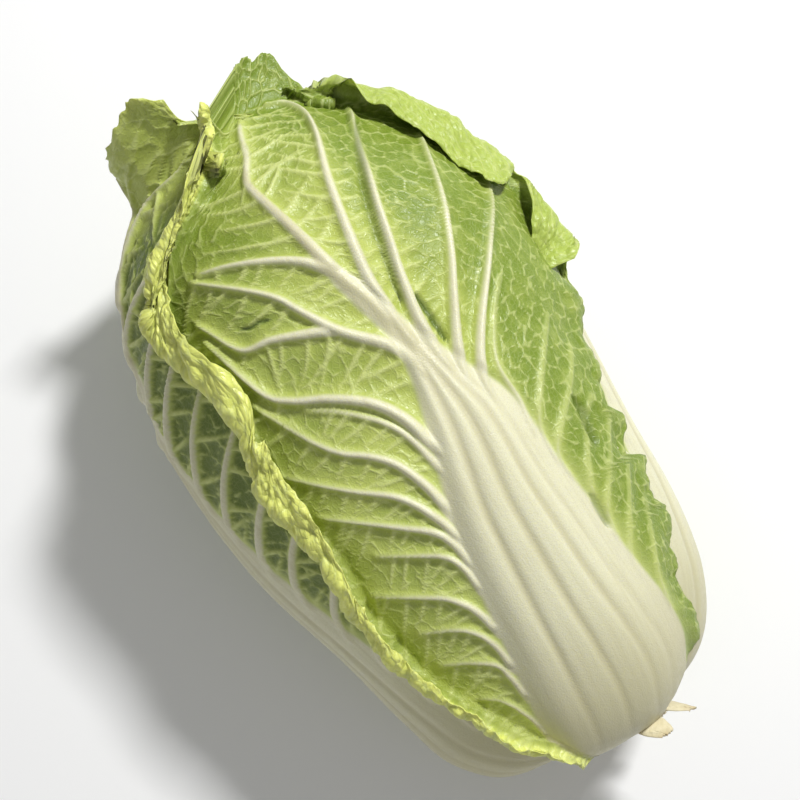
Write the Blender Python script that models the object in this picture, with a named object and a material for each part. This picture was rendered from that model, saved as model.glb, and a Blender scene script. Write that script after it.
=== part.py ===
"""A napa cabbage lying on its side, as picked and trimmed: separate leaves nested round a short stem.

Metres, +Z up. The head lies along Y, with the cut stem at -Y and the leaf tips at +Y. Every leaf is its own
closed shell. Two leaves share each nested layer, on opposite sides, and the next layer in is turned round
so that it closes their seams. Run it with: blender --background --python part.py
"""

import math

import bmesh
import bpy

# ---- Driving dimensions -------------------------------------------------------------------------------
HEAD_LENGTH = 0.306  # cut butt to crown, along Y
HEAD_HALF_WIDTH = 0.0865  # of the outermost layer, where the head is widest
HEIGHT_TO_WIDTH = 0.88  # a lying head sags a little, so it is lower than it is wide
WIDEST_AT = 0.66  # share of the length from the butt
SHOULDER_POWER = 0.25  # how quickly the head swells out from the butt
SHOULDER_SLIMMING = 0.14  # added to that power by the time it reaches the widest place
CROWN_BULGE = 1.6  # powers of the crown's outline, which is a little more pointed than an ellipse
CROWN_POINT = 0.62
AXIS_RISE = 0.085  # the axis rises this much per metre from the narrow butt to the wide crown
CROWN_LEAN = 0.021  # the crown grew over to -X by this much at its very tip
LEAN_FROM = 0.65  # share of the length where it starts to lean
SWAY = 0.0055  # the middle of the head bows to -X by this much
SWAY_FROM = 0.14  # shares of the length between which it bows
SWAY_TO = 0.97
SETTLED_DEPTH = 0.0023  # how far the underside is pressed flat by the head's own weight
PRESSED_STEP = 0.0039  # the least height from one pressed layer to the next one above it

LAYER_STEP = 0.0052  # from one layer to the next, across the head
LAYER_STEP_GROWTH = 0.00042  # inner layers are packed a little more loosely
BUTT_STEP = 0.0082  # each layer starts this much further up the stem than the one outside it
CROWN_STEP = 0.0056  # and ends this much lower under the crown

BLADE_THICKNESS = 0.0017
THINNEST = 0.0010  # where a blade is squeezed between its neighbours
PETIOLE_THICKNESS = 0.0054  # at the foot of an outer leaf
PETIOLE_HALF_ANGLE = 30.0  # degrees of the head that the thick rib takes at its foot
FOOT_SHARE = 0.80  # the leaf's foot is this share of its full angle round the head
TIP_SHARE = 0.52  # and its tip is this share
TIP_REACH = 0.968  # how far towards the crown's pole a leaf reaches

STEM_RADIUS = 0.0205  # at the cut face
STEM_TIP_RADIUS = 0.007
STEM_LENGTH = 0.083
CLEARANCE = 0.0009  # kept between a leaf and what lies inside it

# Side of the head that each leaf's rib lies on, in degrees: 0 is +X, 90 the top, 180 -X, 270 the underside.
# name, layer, rib angle, reach anticlockwise, reach clockwise
OUTER_LEAVES = (
    ("outer_leaf_front", 0, 90.0, 60.0, 82.0),
    ("outer_leaf_under", 0, 266.0, 70.0, 70.0),
    ("outer_leaf_left", 1, 186.0, 82.0, 82.0),
    ("outer_leaf_right", 1, 356.0, 82.0, 82.0),
)
WRAPPER_LAYERS = (2, 3, 4)
INNER_LAYERS = (5, 6, 7, 8, 9, 10)
LAYER_TURN = 53.0  # degrees that each layer is turned from the one outside it
PAIR_REACH = 86.0  # two leaves share a layer, so each reaches less than 90 degrees either way
BUD_LAYER = 11

OUTER_GRID = (15, 16)  # rows along the leaf, columns across it
INNER_GRID = (10, 9)

STUB_ANGLES = (18.0, 62.0, 318.0)  # torn feet of leaves that were trimmed away
STUB_HALF_ANGLE = 15.0
STUB_LENGTH = 0.015
STUB_THICKNESS = 0.0022
STUB_FOOT = -0.0005  # just outside the feet of the outer leaves

# ---- Colours (linear RGB) and finishes ----------------------------------------------------------------
FINISHES = {
    "outer_leaf": ((0.42, 0.55, 0.16), 0.45),
    "inner_leaf": ((0.62, 0.68, 0.26), 0.45),
    "heart": ((0.74, 0.74, 0.34), 0.45),
    "stem": ((0.72, 0.66, 0.46), 0.60),
}

WIDEST_Y = HEAD_LENGTH * WIDEST_AT


def material(name):
    """The named finish as a Principled material, made once."""
    found = bpy.data.materials.get(name)
    if found:
        return found
    colour, roughness = FINISHES[name]
    made = bpy.data.materials.new(name)
    made.use_nodes = True
    surface = made.node_tree.nodes["Principled BSDF"]
    surface.inputs["Base Color"].default_value = (*colour, 1.0)
    surface.inputs["Roughness"].default_value = roughness
    surface.inputs["Metallic"].default_value = 0.0
    return made


def smooth(share):
    """0 to 1 with a soft start and end."""
    share = min(1.0, max(0.0, share))
    return share * share * (3.0 - 2.0 * share)


def layer_inset(layer):
    """How far a layer lies inside the outermost one, where the head is widest."""
    return layer * LAYER_STEP + layer * (layer - 1) / 2.0 * LAYER_STEP_GROWTH


def layer_half_width(layer, y):
    """Half-width of a layer at distance y from the butt: a swelling barrel with a rounded crown."""
    widest = HEAD_HALF_WIDTH - layer_inset(layer)
    foot = layer * BUTT_STEP
    crown = HEAD_LENGTH - layer * CROWN_STEP
    if y <= foot or y >= crown:
        return 0.0
    if y < WIDEST_Y:
        share = (y - foot) / (WIDEST_Y - foot)
        power = SHOULDER_POWER + SHOULDER_SLIMMING * share
        return widest * math.sin(math.pi / 2.0 * share) ** power
    past = (y - WIDEST_Y) / (crown - WIDEST_Y)
    return widest * (1.0 - past**CROWN_BULGE) ** CROWN_POINT


def axis_height(y):
    """Height of the head's axis above the surface that it lies on."""
    widest_height = HEAD_HALF_WIDTH * HEIGHT_TO_WIDTH - SETTLED_DEPTH
    return widest_height + AXIS_RISE * (y - WIDEST_Y)


def axis_side(y):
    """How far the head's axis bows and leans over to the side at distance y from the butt."""
    share = y / HEAD_LENGTH
    past = max(0.0, (share - LEAN_FROM) / (1.0 - LEAN_FROM))
    bowed = min(1.0, max(0.0, (share - SWAY_FROM) / (SWAY_TO - SWAY_FROM)))
    return -CROWN_LEAN * past**1.5 - SWAY * math.sin(math.pi * bowed)


def on_head(radius, y, angle, layer=0):
    """The point at this radius and angle round the axis, with the layer's underside pressed flat."""
    turn = math.radians(angle)
    x = axis_side(y) + radius * math.cos(turn)
    z = axis_height(y) + HEIGHT_TO_WIDTH * radius * math.sin(turn)
    return (x, y, max(z, layer * PRESSED_STEP))


def room_inside(layer, y, angle):
    """Distance from a layer to the next one in, square to its surface."""
    step = 0.001
    here, ahead = layer_half_width(layer, y), layer_half_width(layer, y + step)
    slope = (ahead - here) / step
    outer = on_head(here, y, angle, layer)
    inner = on_head(layer_half_width(layer + 1, y), y, angle, layer + 1)
    return math.dist(outer, inner) / math.hypot(1.0, slope)


def stem_radius(y):
    """Radius of the stem at distance y from the butt: a cone with a rounded tip."""
    share = y / STEM_LENGTH
    if share >= 1.0:
        return 0.0
    cone = STEM_RADIUS + (STEM_TIP_RADIUS - STEM_RADIUS) * share
    return cone * math.sqrt(1.0 - share**6)


def leaf_foot(layer):
    """Where a leaf of this layer leaves the stem."""
    step = 0.0002
    y = layer * BUTT_STEP + step
    while layer_half_width(layer, y) < stem_radius(y) + PETIOLE_THICKNESS + CLEARANCE:
        y += step
    return y


def leaf_stations(layer, rows):
    """Distances from the butt of a leaf's rows, closer together near its foot and its tip."""
    foot = leaf_foot(layer)
    crown = HEAD_LENGTH - layer * CROWN_STEP
    tip = WIDEST_Y + (crown - WIDEST_Y) * TIP_REACH
    spread = [0.5 - 0.5 * math.cos(math.pi * i / (rows - 1)) for i in range(rows)]
    return [foot + (tip - foot) * share for share in spread]


def angle_share(share):
    """How much of its full angle a leaf takes at this share of its length."""
    widening = FOOT_SHARE + (1.0 - FOOT_SHARE) * smooth(share / 0.35)
    narrowing = 1.0 - (1.0 - TIP_SHARE) * smooth((share - 0.72) / 0.28)
    return widening * narrowing


def leaf_thickness(share, away):
    """Thickest on the rib at the foot, falling to the blade's towards the tip and away from the rib."""
    along = 1.0 - 0.75 * smooth(share / 0.85)
    reach = PETIOLE_HALF_ANGLE * (1.0 - 0.7 * smooth(share / 0.8))
    rib = along * (1.0 - smooth(away / reach - 0.35))
    return BLADE_THICKNESS + (PETIOLE_THICKNESS - BLADE_THICKNESS) * rib


def new_object(name, mesh, finish, parent):
    """An object for this mesh, with its finish, under the head's parent."""
    made = bpy.data.objects.new(name, mesh)
    made.parent = parent
    made.data.materials.append(material(finish))
    bpy.context.scene.collection.objects.link(made)
    return made


def grid_mesh(name, points):
    """A sheet through rows of points, as quads."""
    shape = bmesh.new()
    rows = [[shape.verts.new(p) for p in row] for row in points]
    for low, high in zip(rows, rows[1:]):
        for i in range(len(low) - 1):
            shape.faces.new((low[i], low[i + 1], high[i + 1], high[i]))
    mesh = bpy.data.meshes.new(name)
    shape.to_mesh(mesh)
    shape.free()
    mesh.shade_smooth()
    return mesh


def build_leaf(name, layer, rib_angle, left_reach, right_reach, grid, finish, parent):
    """One leaf: a sheet on its layer, thickened inwards, most along the rib."""
    rows, columns = grid
    stations = leaf_stations(layer, rows)
    points, weights = [], []
    for row, y in enumerate(stations):
        share = row / (rows - 1)
        radius = layer_half_width(layer, y)
        line = []
        for column in range(columns):
            across = 1.0 - 2.0 * column / (columns - 1)
            reach = (left_reach if across > 0.0 else right_reach) * angle_share(share)
            angle = rib_angle + across * reach
            line.append(on_head(radius, y, angle, layer))
            thickness = leaf_thickness(share, abs(across) * reach)
            thickness = min(thickness, room_inside(layer, y, angle) - CLEARANCE)
            weights.append((thickness - THINNEST) / (PETIOLE_THICKNESS - THINNEST))
        points.append(line)
    leaf = new_object(name, grid_mesh(name, points), finish, parent)
    group = leaf.vertex_groups.new(name="thickness")
    for index, weight in enumerate(weights):
        group.add([index], max(weight, 0.0), "REPLACE")
    shell = leaf.modifiers.new("thickness", "SOLIDIFY")
    shell.thickness = PETIOLE_THICKNESS
    shell.offset = -1.0
    shell.use_quality_normals = True
    shell.vertex_group = "thickness"
    shell.thickness_vertex_group = THINNEST / PETIOLE_THICKNESS
    return leaf


def turned_mesh(name, profile, around):
    """A closed body through rings of (y, radius) round the head's axis, with flat ends."""
    shape = bmesh.new()
    rings = []
    for y, radius in profile:
        ring = [shape.verts.new(on_head(radius, y, 360.0 * i / around)) for i in range(around)]
        rings.append(ring)
    for low, high in zip(rings, rings[1:]):
        for i in range(around):
            j = (i + 1) % around
            shape.faces.new((low[i], high[i], high[j], low[j]))
    shape.faces.new(rings[0])
    shape.faces.new(reversed(rings[-1]))
    bmesh.ops.recalc_face_normals(shape, faces=shape.faces)
    mesh = bpy.data.meshes.new(name)
    shape.to_mesh(mesh)
    shape.free()
    mesh.shade_smooth()
    mesh.set_sharp_from_angle(angle=math.radians(50.0))
    return mesh


def build_stem(parent):
    """The short stem inside the head, cut flat at the butt."""
    rings = 9
    profile = []
    for i in range(rings):
        y = 0.001 + (STEM_LENGTH * 0.985 - 0.001) * i / (rings - 1)
        profile.append((y, stem_radius(y)))
    return new_object("stem", turned_mesh("stem", profile, 24), "stem", parent)


def build_bud(parent):
    """The heart: the last, smallest leaves, still folded together into one tight bud."""
    rings = 11
    foot = max(BUD_LAYER * BUTT_STEP, STEM_LENGTH) + 0.004
    crown = HEAD_LENGTH - BUD_LAYER * CROWN_STEP
    tip = WIDEST_Y + (crown - WIDEST_Y) * TIP_REACH
    profile = []
    for i in range(rings):
        y = foot + (tip - foot) * (0.5 - 0.5 * math.cos(math.pi * i / (rings - 1)))
        profile.append((y, layer_half_width(BUD_LAYER, y)))
    return new_object("heart_bud", turned_mesh("heart_bud", profile, 16), "heart", parent)


def build_stub(number, angle, parent):
    """The torn foot of a leaf that was trimmed away: a short curved scale outside the butt."""
    rows, columns = 4, 5
    points = []
    for row in range(rows):
        share = row / (rows - 1)
        y = STUB_FOOT - STUB_LENGTH * 0.55 * share
        radius = STEM_RADIUS + 0.0035 + STUB_LENGTH * 0.75 * share
        reach = STUB_HALF_ANGLE * (1.0 - 0.72 * share)
        line = []
        for column in range(columns):
            across = 1.0 - 2.0 * column / (columns - 1)
            line.append(on_head(radius, y, angle + across * reach))
        points.append(line)
    name = f"leaf_stub_{number}"
    stub = new_object(name, grid_mesh(name, points), "stem", parent)
    shell = stub.modifiers.new("thickness", "SOLIDIFY")
    shell.thickness = STUB_THICKNESS
    shell.offset = 1.0
    return stub


def build_leaves(parent):
    """All the leaves, from the outermost in, two to a layer."""
    for name, layer, rib_angle, left, right in OUTER_LEAVES:
        build_leaf(name, layer, rib_angle, left, right, OUTER_GRID, "outer_leaf", parent)
    number = 0
    for layer in WRAPPER_LAYERS:
        for side in (0.0, 180.0):
            number += 1
            angle = 90.0 + side + (layer - WRAPPER_LAYERS[0]) * LAYER_TURN
            name = f"wrapper_leaf_{number}"
            build_leaf(name, layer, angle, PAIR_REACH, PAIR_REACH, INNER_GRID, "inner_leaf", parent)
    number = 0
    for layer in INNER_LAYERS:
        for side in (0.0, 180.0):
            number += 1
            angle = 90.0 + side + (layer - WRAPPER_LAYERS[0]) * LAYER_TURN
            name = f"inner_leaf_{number:02d}"
            build_leaf(name, layer, angle, PAIR_REACH, PAIR_REACH, INNER_GRID, "heart", parent)


def centre(parent):
    """Moves the head so that its box is centred on the origin and stands on z = 0."""
    bpy.context.view_layer.update()
    graph = bpy.context.evaluated_depsgraph_get()
    corners = []
    for piece in parent.children:
        box = piece.evaluated_get(graph).bound_box
        corners += [tuple(corner) for corner in box]
    low = [min(c[axis] for c in corners) for axis in range(3)]
    high = [max(c[axis] for c in corners) for axis in range(3)]
    parent.location = (-(low[0] + high[0]) / 2.0, -(low[1] + high[1]) / 2.0, -low[2])


def main():
    for old in list(bpy.data.objects):
        bpy.data.objects.remove(old)
    head = bpy.data.objects.new("napa_cabbage", None)
    bpy.context.scene.collection.objects.link(head)
    build_stem(head)
    build_leaves(head)
    build_bud(head)
    for number, angle in enumerate(STUB_ANGLES, start=1):
        build_stub(number, angle, head)
    centre(head)


main()
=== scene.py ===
"""The looks of a napa cabbage that lies on its side.

Every leaf is one closed mesh: a sheet wrapped round the head, whose margins curl outwards. Veins, ribs and
the blistered blade are raised in the mesh itself, and the same fields colour it. Lengths inside the leaf
code are in millimetres, and become metres when a mesh is made. `along` runs from the cut butt to the crown,
and `across` from a leaf's rib towards its left margin, seen from outside with the crown up.
"""

import logging
import math
from dataclasses import dataclass
from enum import Enum

import bpy
import numpy as np
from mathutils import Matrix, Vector

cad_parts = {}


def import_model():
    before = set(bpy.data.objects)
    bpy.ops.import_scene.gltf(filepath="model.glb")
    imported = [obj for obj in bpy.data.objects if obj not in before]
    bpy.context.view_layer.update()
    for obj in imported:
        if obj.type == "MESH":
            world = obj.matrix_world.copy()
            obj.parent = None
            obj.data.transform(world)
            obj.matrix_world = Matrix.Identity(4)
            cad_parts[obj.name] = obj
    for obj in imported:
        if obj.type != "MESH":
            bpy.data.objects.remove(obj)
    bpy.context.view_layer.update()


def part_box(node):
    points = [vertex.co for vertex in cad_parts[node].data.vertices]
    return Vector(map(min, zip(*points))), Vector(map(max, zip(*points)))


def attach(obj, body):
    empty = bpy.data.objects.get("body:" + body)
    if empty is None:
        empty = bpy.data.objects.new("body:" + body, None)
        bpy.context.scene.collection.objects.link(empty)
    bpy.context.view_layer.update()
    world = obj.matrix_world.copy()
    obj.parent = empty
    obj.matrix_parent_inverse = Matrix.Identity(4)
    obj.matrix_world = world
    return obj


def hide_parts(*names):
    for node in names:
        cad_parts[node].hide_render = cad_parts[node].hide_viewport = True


LOG = logging.getLogger("napa_cabbage")
MM = 0.001

Array = np.ndarray
Stations = tuple[tuple[float, float], ...]
Colour = tuple[float, float, float, float]
Socket = bpy.types.NodeSocket
Value = bpy.types.NodeSocket | float | Colour


class Slot(Enum):
    """The material slots of the record."""

    OUTER = "outer_leaf"
    INNER = "inner_leaf"
    HEART = "heart_leaf"
    STEM = "stem"


# ---- Numbers that vary smoothly --------------------------------------------------------------------------


def ease(share: Array) -> Array:
    """Turns 0 to 1 into 0 to 1 with a soft start and end."""
    share = np.clip(share, 0.0, 1.0)
    return share * share * (3.0 - 2.0 * share)


def through(stations: Stations, at: Array) -> Array:
    """Reads a smooth curve through stations.

    Args:
        stations: pairs of place and value, in order of place.
        at: the places to read.

    Returns:
        The values there, with no overshoot between stations.
    """
    places = np.array([s[0] for s in stations], float)
    values = np.array([s[1] for s in stations], float)
    slopes = np.gradient(values, places)
    flat = np.diff(values)[:-1] * np.diff(values)[1:] <= 0.0
    slopes[1:-1][flat] = 0.0
    at = np.clip(at, places[0], places[-1])
    index = np.clip(np.searchsorted(places, at, side="right") - 1, 0, len(places) - 2)
    span = places[index + 1] - places[index]
    t = (at - places[index]) / span
    low = (2 * t**3 - 3 * t**2 + 1) * values[index] + (t**3 - 2 * t**2 + t) * span * slopes[index]
    high = (3 * t**2 - 2 * t**3) * values[index + 1] + (t**3 - t**2) * span * slopes[index + 1]
    return low + high


def scatter(i: Array, j: Array, seed: int) -> Array:
    """A repeatable random number from 0 to 1 for each pair of whole numbers.

    Args:
        i: first whole numbers.
        j: second whole numbers.
        seed: picks one of many sets.

    Returns:
        One number from 0 to 1 for each pair.
    """
    n = (i.astype(np.int64) * 374761393 + j.astype(np.int64) * 668265263 + seed * 144269504) & 0xFFFFFFFF
    n = ((n ^ (n >> 13)) * 1274126177) & 0xFFFFFFFF
    n = ((n ^ (n >> 15)) * 668265263) & 0xFFFFFFFF
    return ((n ^ (n >> 16)) & 0xFFFFFF) / float(0xFFFFFF)


def noise(x: Array, y: Array, size: float, seed: int, octaves: int = 2) -> Array:
    """Smooth random hills.

    Args:
        x: places along one direction.
        y: places along the other.
        size: width of the largest hills.
        seed: picks one of many landscapes.
        octaves: how many finer sets of hills are added.

    Returns:
        Heights from about -1 to 1.
    """
    total, weight = np.zeros(np.broadcast(x, y).shape), 0.0
    for octave in range(octaves):
        scale = 2.0**octave / size
        u, v = x * scale + 17.3 * octave, y * scale - 9.1 * octave
        i, j = np.floor(u), np.floor(v)
        a, b = ease(u - i), ease(v - j)
        corner = [scatter(i + di, j + dj, seed + octave) for di in (0, 1) for dj in (0, 1)]
        low = corner[0] * (1 - b) + corner[1] * b
        high = corner[2] * (1 - b) + corner[3] * b
        total = total + (low * (1 - a) + high * a - 0.5) * 2.0 * 0.55**octave
        weight += 0.55**octave
    return total / weight * 1.3


def cells(x: Array, y: Array, size: float, seed: int) -> tuple[Array, Array]:
    """Splits the plane into irregular cells, like the blisters between a leaf's smallest veins.

    Args:
        x: places along one direction.
        y: places along the other.
        size: about how wide a cell is.
        seed: picks one of many patterns.

    Returns:
        The distance in from the cell's wall, as a share of its size, and a random number for each cell.
    """
    u, v = x / size, y / size
    i0, j0 = np.floor(u), np.floor(v)
    near = np.full(u.shape, 9.0)
    second = np.full(u.shape, 9.0)
    which = np.zeros(u.shape)
    for di in (-1, 0, 1):
        for dj in (-1, 0, 1):
            i, j = i0 + di, j0 + dj
            px = i + 0.5 + 0.82 * (scatter(i, j, seed) - 0.5)
            py = j + 0.5 + 0.82 * (scatter(i, j, seed + 71) - 0.5)
            d = np.hypot(u - px, v - py)
            closer = d < near
            second = np.where(closer, near, np.minimum(second, d))
            which = np.where(closer, scatter(i, j, seed + 137), which)
            near = np.where(closer, d, near)
    return second - near, which


def soften(values: Array, weights: Array, reach: int) -> Array:
    """Blurs a grid of numbers.

    Args:
        values: the numbers.
        weights: how much each counts.
        reach: how many places each way the blur goes, three times over.

    Returns:
        The blurred numbers.
    """
    axes = range(values.ndim)
    top, low = values * weights, weights + 1e-6
    for axis in [*axes] * 3:
        margins = [(reach + 1, reach) if a == axis else (0, 0) for a in axes]
        ahead = tuple(slice(2 * reach + 1, None) if a == axis else slice(None) for a in axes)
        behind = tuple(slice(None, -2 * reach - 1) if a == axis else slice(None) for a in axes)
        top, low = (total[ahead] - total[behind] for total in (
            np.cumsum(np.pad(v, margins), axis=axis) for v in (top, low)))
    return top / np.maximum(low, 1e-9)


# ---- Grids and meshes -----------------------------------------------------------------------------------


def unit(vectors: Array) -> Array:
    """The same directions with a length of 1."""
    return vectors / np.maximum(np.linalg.norm(vectors, axis=-1, keepdims=True), 1e-9)


def outward(sheet: Array) -> Array:
    """The direction straight out of a grid of points, at each of them."""
    return unit(np.cross(np.gradient(sheet, axis=0), np.gradient(sheet, axis=1)))


def new_object(name: str, points: Array, quads: Array,
               others: list[list[int]] | None = None) -> bpy.types.Object:
    """Makes a smooth object and puts it in the scene.

    Args:
        name: its name.
        points: its corners, in millimetres.
        quads: its faces that have four corners.
        others: its other faces.

    Returns:
        The object.
    """
    others = others or []
    corners = np.concatenate([quads.reshape(-1), *[np.array(face) for face in others]])
    sizes = np.concatenate([np.full(len(quads), 4), [len(face) for face in others]])
    mesh = bpy.data.meshes.new(name)
    mesh.vertices.add(len(points))
    mesh.vertices.foreach_set("co", (points * MM).astype(np.float32).ravel())
    mesh.loops.add(len(corners))
    mesh.loops.foreach_set("vertex_index", corners.astype(np.int32))
    mesh.polygons.add(len(sizes))
    mesh.polygons.foreach_set("loop_start", (np.cumsum(sizes) - sizes).astype(np.int32))
    mesh.update(calc_edges=True)
    mesh.validate()
    mesh.shade_smooth()
    made = bpy.data.objects.new(name, mesh)
    bpy.context.scene.collection.objects.link(made)
    return made


# ---- The head -------------------------------------------------------------------------------------------


@dataclass(frozen=True)
class Head:
    """The barrel that the leaves are wrapped round, in layers from the outside in. Millimetres."""

    butt: float
    middle: float
    length: float
    half_width: float
    widest_share: float = 0.66
    height_to_width: float = 0.88
    shoulder_power: float = 0.25
    shoulder_slimming: float = 0.14
    crown_bulge: float = 1.6
    crown_point: float = 0.62
    axis_rise: float = 0.085
    crown_lean: float = 21.0
    lean_from: float = 0.65
    sway: float = 5.5
    sway_from: float = 0.14
    sway_to: float = 0.97
    settled_depth: float = 2.3
    layer_step: float = 5.2
    layer_step_growth: float = 0.42
    butt_step: float = 8.2
    crown_step: float = 5.6
    pressed_step: float = 3.9

    @classmethod
    def from_frame(cls) -> "Head":
        """Reads the head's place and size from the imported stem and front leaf."""
        stem_low, stem_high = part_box("stem")
        _, front_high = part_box("outer_leaf_front")
        stem_face_inset, leaf_reach, facets = 1.0, 0.98912, 1.0076
        butt = stem_low.y / MM - stem_face_inset
        length = (front_high.y / MM - butt) / leaf_reach
        half_width = facets * (front_high.z / MM + cls.settled_depth) / (2.0 * cls.height_to_width)
        middle = (stem_low.x + stem_high.x) / 2.0 / MM
        return cls(butt, middle, length, half_width)

    @property
    def widest(self) -> float:
        """Distance from the butt to the widest place."""
        return self.length * self.widest_share

    def radius(self, layer: float, along: Array) -> Array:
        """Half-width of a layer.

        Args:
            layer: 0 is the outermost.
            along: distances from the butt.

        Returns:
            The half-widths there.
        """
        inset = layer * self.layer_step + max(layer, 0.0) * (layer - 1.0) / 2.0 * self.layer_step_growth
        widest = self.half_width - inset
        foot = max(layer, 0.0) * self.butt_step
        crown = self.length - layer * self.crown_step
        share = np.clip((along - foot) / (self.widest - foot), 1e-4, 1.0)
        power = self.shoulder_power + self.shoulder_slimming * share
        low = widest * np.sin(math.pi / 2.0 * share) ** power
        past = np.clip((along - self.widest) / (crown - self.widest), 0.0, 1.0)
        high = widest * (1.0 - past**self.crown_bulge) ** self.crown_point
        return np.where(along < self.widest, low, high)

    def place(self, radius: Array, along: Array, angle: Array, layer: float) -> Array:
        """Points round the head's axis.

        Args:
            radius: distance from the axis, sideways.
            along: distance from the butt.
            angle: degrees round the axis: 0 is +X and 90 the top.
            layer: the leaf's layer, whose underside is pressed flat.

        Returns:
            Points in millimetres, in the frame, with x, y and z last.
        """
        turn = np.radians(angle)
        share = along / self.length
        past = np.clip((share - self.lean_from) / (1.0 - self.lean_from), 0.0, 1.0)
        bowed = np.clip((share - self.sway_from) / (self.sway_to - self.sway_from), 0.0, 1.0)
        side = self.crown_lean * past**1.5 + self.sway * np.sin(math.pi * bowed)
        x = self.middle - side + radius * np.cos(turn)
        height = self.half_width * self.height_to_width - self.settled_depth
        height = height + self.axis_rise * (along - self.widest)
        floor = layer * self.pressed_step
        above = height + self.height_to_width * radius * np.sin(turn) - floor
        z = floor + 0.5 * (above + np.sqrt(above * above + 1.5))
        y = along + self.butt
        x, y, z = np.broadcast_arrays(x, y, z)
        return np.stack([x, y, z], axis=-1)


# ---- Lines on a leaf ------------------------------------------------------------------------------------


def smooth_path(points: tuple[tuple[float, ...], ...], step: float = 2.0) -> Array:
    """Closely spaced points of a smooth curve.

    Args:
        points: given points that the curve goes through; further numbers vary along with them.
        step: about how far apart the new points are.

    Returns:
        The points, one row each.
    """
    own = np.array(points, float)
    ends = np.vstack([2 * own[0] - own[1], own, 2 * own[-1] - own[-2]])
    out = []
    for a, b, c, d in zip(ends, ends[1:], ends[2:], ends[3:]):
        count = max(2, int(np.hypot(*(c - b)[:2]) / step))
        t = np.linspace(0.0, 1.0, count, endpoint=False)[:, None]
        out.append(0.5 * (2 * b + (c - a) * t + (2 * a - 5 * b + 4 * c - d) * t**2
                          + (3 * b - a - 3 * c + d) * t**3))
    return np.vstack([*out, own[-1:]])


def run_along(path: Array) -> Array:
    """The distance along a line to each of its points."""
    return np.concatenate([[0.0], np.cumsum(np.hypot(*np.diff(path, axis=0).T))])


def around(path: Array, over: Array, across: Array, reach: float) -> Array:
    """Marks the places in the box round a line.

    Args:
        path: points of (over, across).
        over: places to mark.
        across: the same.
        reach: how far past the line the box goes.

    Returns:
        True for the places inside.
    """
    low, high = path.min(axis=0) - reach, path.max(axis=0) + reach
    return (over > low[0]) & (over < high[0]) & (across > low[1]) & (across < high[1])


@dataclass
class Nearest:
    """Where each place lies beside a line."""

    distance: Array
    signed: Array
    share: Array


def beside(path: Array, over: Array, across: Array) -> Nearest:
    """Finds each place's distance from a line.

    Args:
        path: points of (over, across).
        over: places to measure from.
        across: the same.

    Returns:
        The distance, the same with its sign positive to the left of the line, and the share of the line's
        length where the nearest point lies.
    """
    steps, starts = np.diff(path, axis=0), run_along(path)
    best = np.full(over.shape, 1e9)
    share = np.zeros(over.shape)
    side = np.ones(over.shape)
    for (a, b), (da, db), length, start in zip(path, steps, np.diff(starts), starts):
        if length < 1e-6:
            continue
        po, pa = over - a, across - b
        t = np.clip((po * da + pa * db) / length**2, 0.0, 1.0)
        d = np.hypot(po - t * da, pa - t * db)
        closer = d < best
        best = np.where(closer, d, best)
        share = np.where(closer, (start + t * length) / starts[-1], share)
        side = np.where(closer, np.sign(da * pa - db * po), side)
    return Nearest(best, best * side, share)


@dataclass(frozen=True)
class Vein:
    """One vein: points of (along, across), its half-width at foot and tip, and how it stands out."""

    points: Stations
    foot: float
    tip: float
    height: float
    trough: float = 0.0
    white: float = 1.0


@dataclass(frozen=True)
class Tear:
    """A crack or sharp crease: points of (along, across), its half-width, its depth and how much painted shade
    fills it.
    """

    points: Stations
    half_width: float
    depth: float
    gap_shade: float = 1.0


@dataclass(frozen=True)
class Swell:
    """A broad place where a leaf stands off the head: where, how far, and its reach both ways."""

    along: float
    degrees: float
    height: float
    reach: float
    spread: float


@dataclass
class RibRelief:
    """What the rib does to each place: mound and grooves, its white, and that with a soft edge."""

    mound: Array
    groove: Array
    white: Array
    soft: Array


@dataclass(frozen=True)
class Rib:
    """A leaf's thick white rib: where its middle runs, how wide it is and how far it stands out.

    Its edges and grooves are placed by shares of its half-width, and the grooves are long lines down its face.
    """

    middle: Stations
    half_width: Stations
    height: Stations
    left_edge: float = 0.35
    right_edge: float = 0.9
    roundness: float = 0.22
    grooves: tuple[float, ...] = (-0.58, -0.3, 0.1, 0.48)
    groove_half: float = 1.9
    groove_depth: Stations = ((0.0, 0.1), (30.0, 0.6), (70.0, 1.1), (150.0, 0.9), (200.0, 0.0))
    white_edge: float = 6.0

    def relief(self, along: Array, across: Array) -> RibRelief:
        """The rib's relief.

        Args:
            along: places along the head, one for each row.
            across: places across the leaf.

        Returns:
            What it does to each place.
        """
        half, tall = through(self.half_width, along), through(self.height, along)
        q = (across - through(self.middle, along)) / half
        edge = np.where(q > 0.0, self.left_edge, self.right_edge)
        slope = 1.0 - ease((np.abs(q) - (1.0 - edge)) / (edge + 0.12))
        groove = np.max([np.exp(-(((q - place) * half / self.groove_half) ** 2)) for place in self.grooves],
                        axis=0) * slope
        mound = tall * slope * (1.0 - self.roundness * np.minimum(q * q, 1.0))
        mound = mound - through(self.groove_depth, along) * groove
        standing = ease(tall)
        white = np.clip(0.5 + (1.0 - np.abs(q)) * half / self.white_edge, 0.0, 1.0) * standing
        soft = (1.0 - ease((np.abs(q) - 0.75) / 0.7)) * standing
        return RibRelief(mound, groove, white, soft)


@dataclass
class VeinRelief:
    """What the veins do to each place: ridges and broad feet, white, and how far the next one is."""

    ridge: Array
    skirt: Array
    white: Array
    clear: Array


@dataclass(frozen=True)
class Fold:
    """A line that the leaf bends outwards along.

    Each point is (along, degrees from the rib, turn in degrees, radius in millimetres). The part to the
    line's left bends when side is 1, and the part to its right when side is -1.
    """

    points: tuple[tuple[float, float, float, float], ...]
    side: float = 1.0
    ripple: float = 0.25


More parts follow.
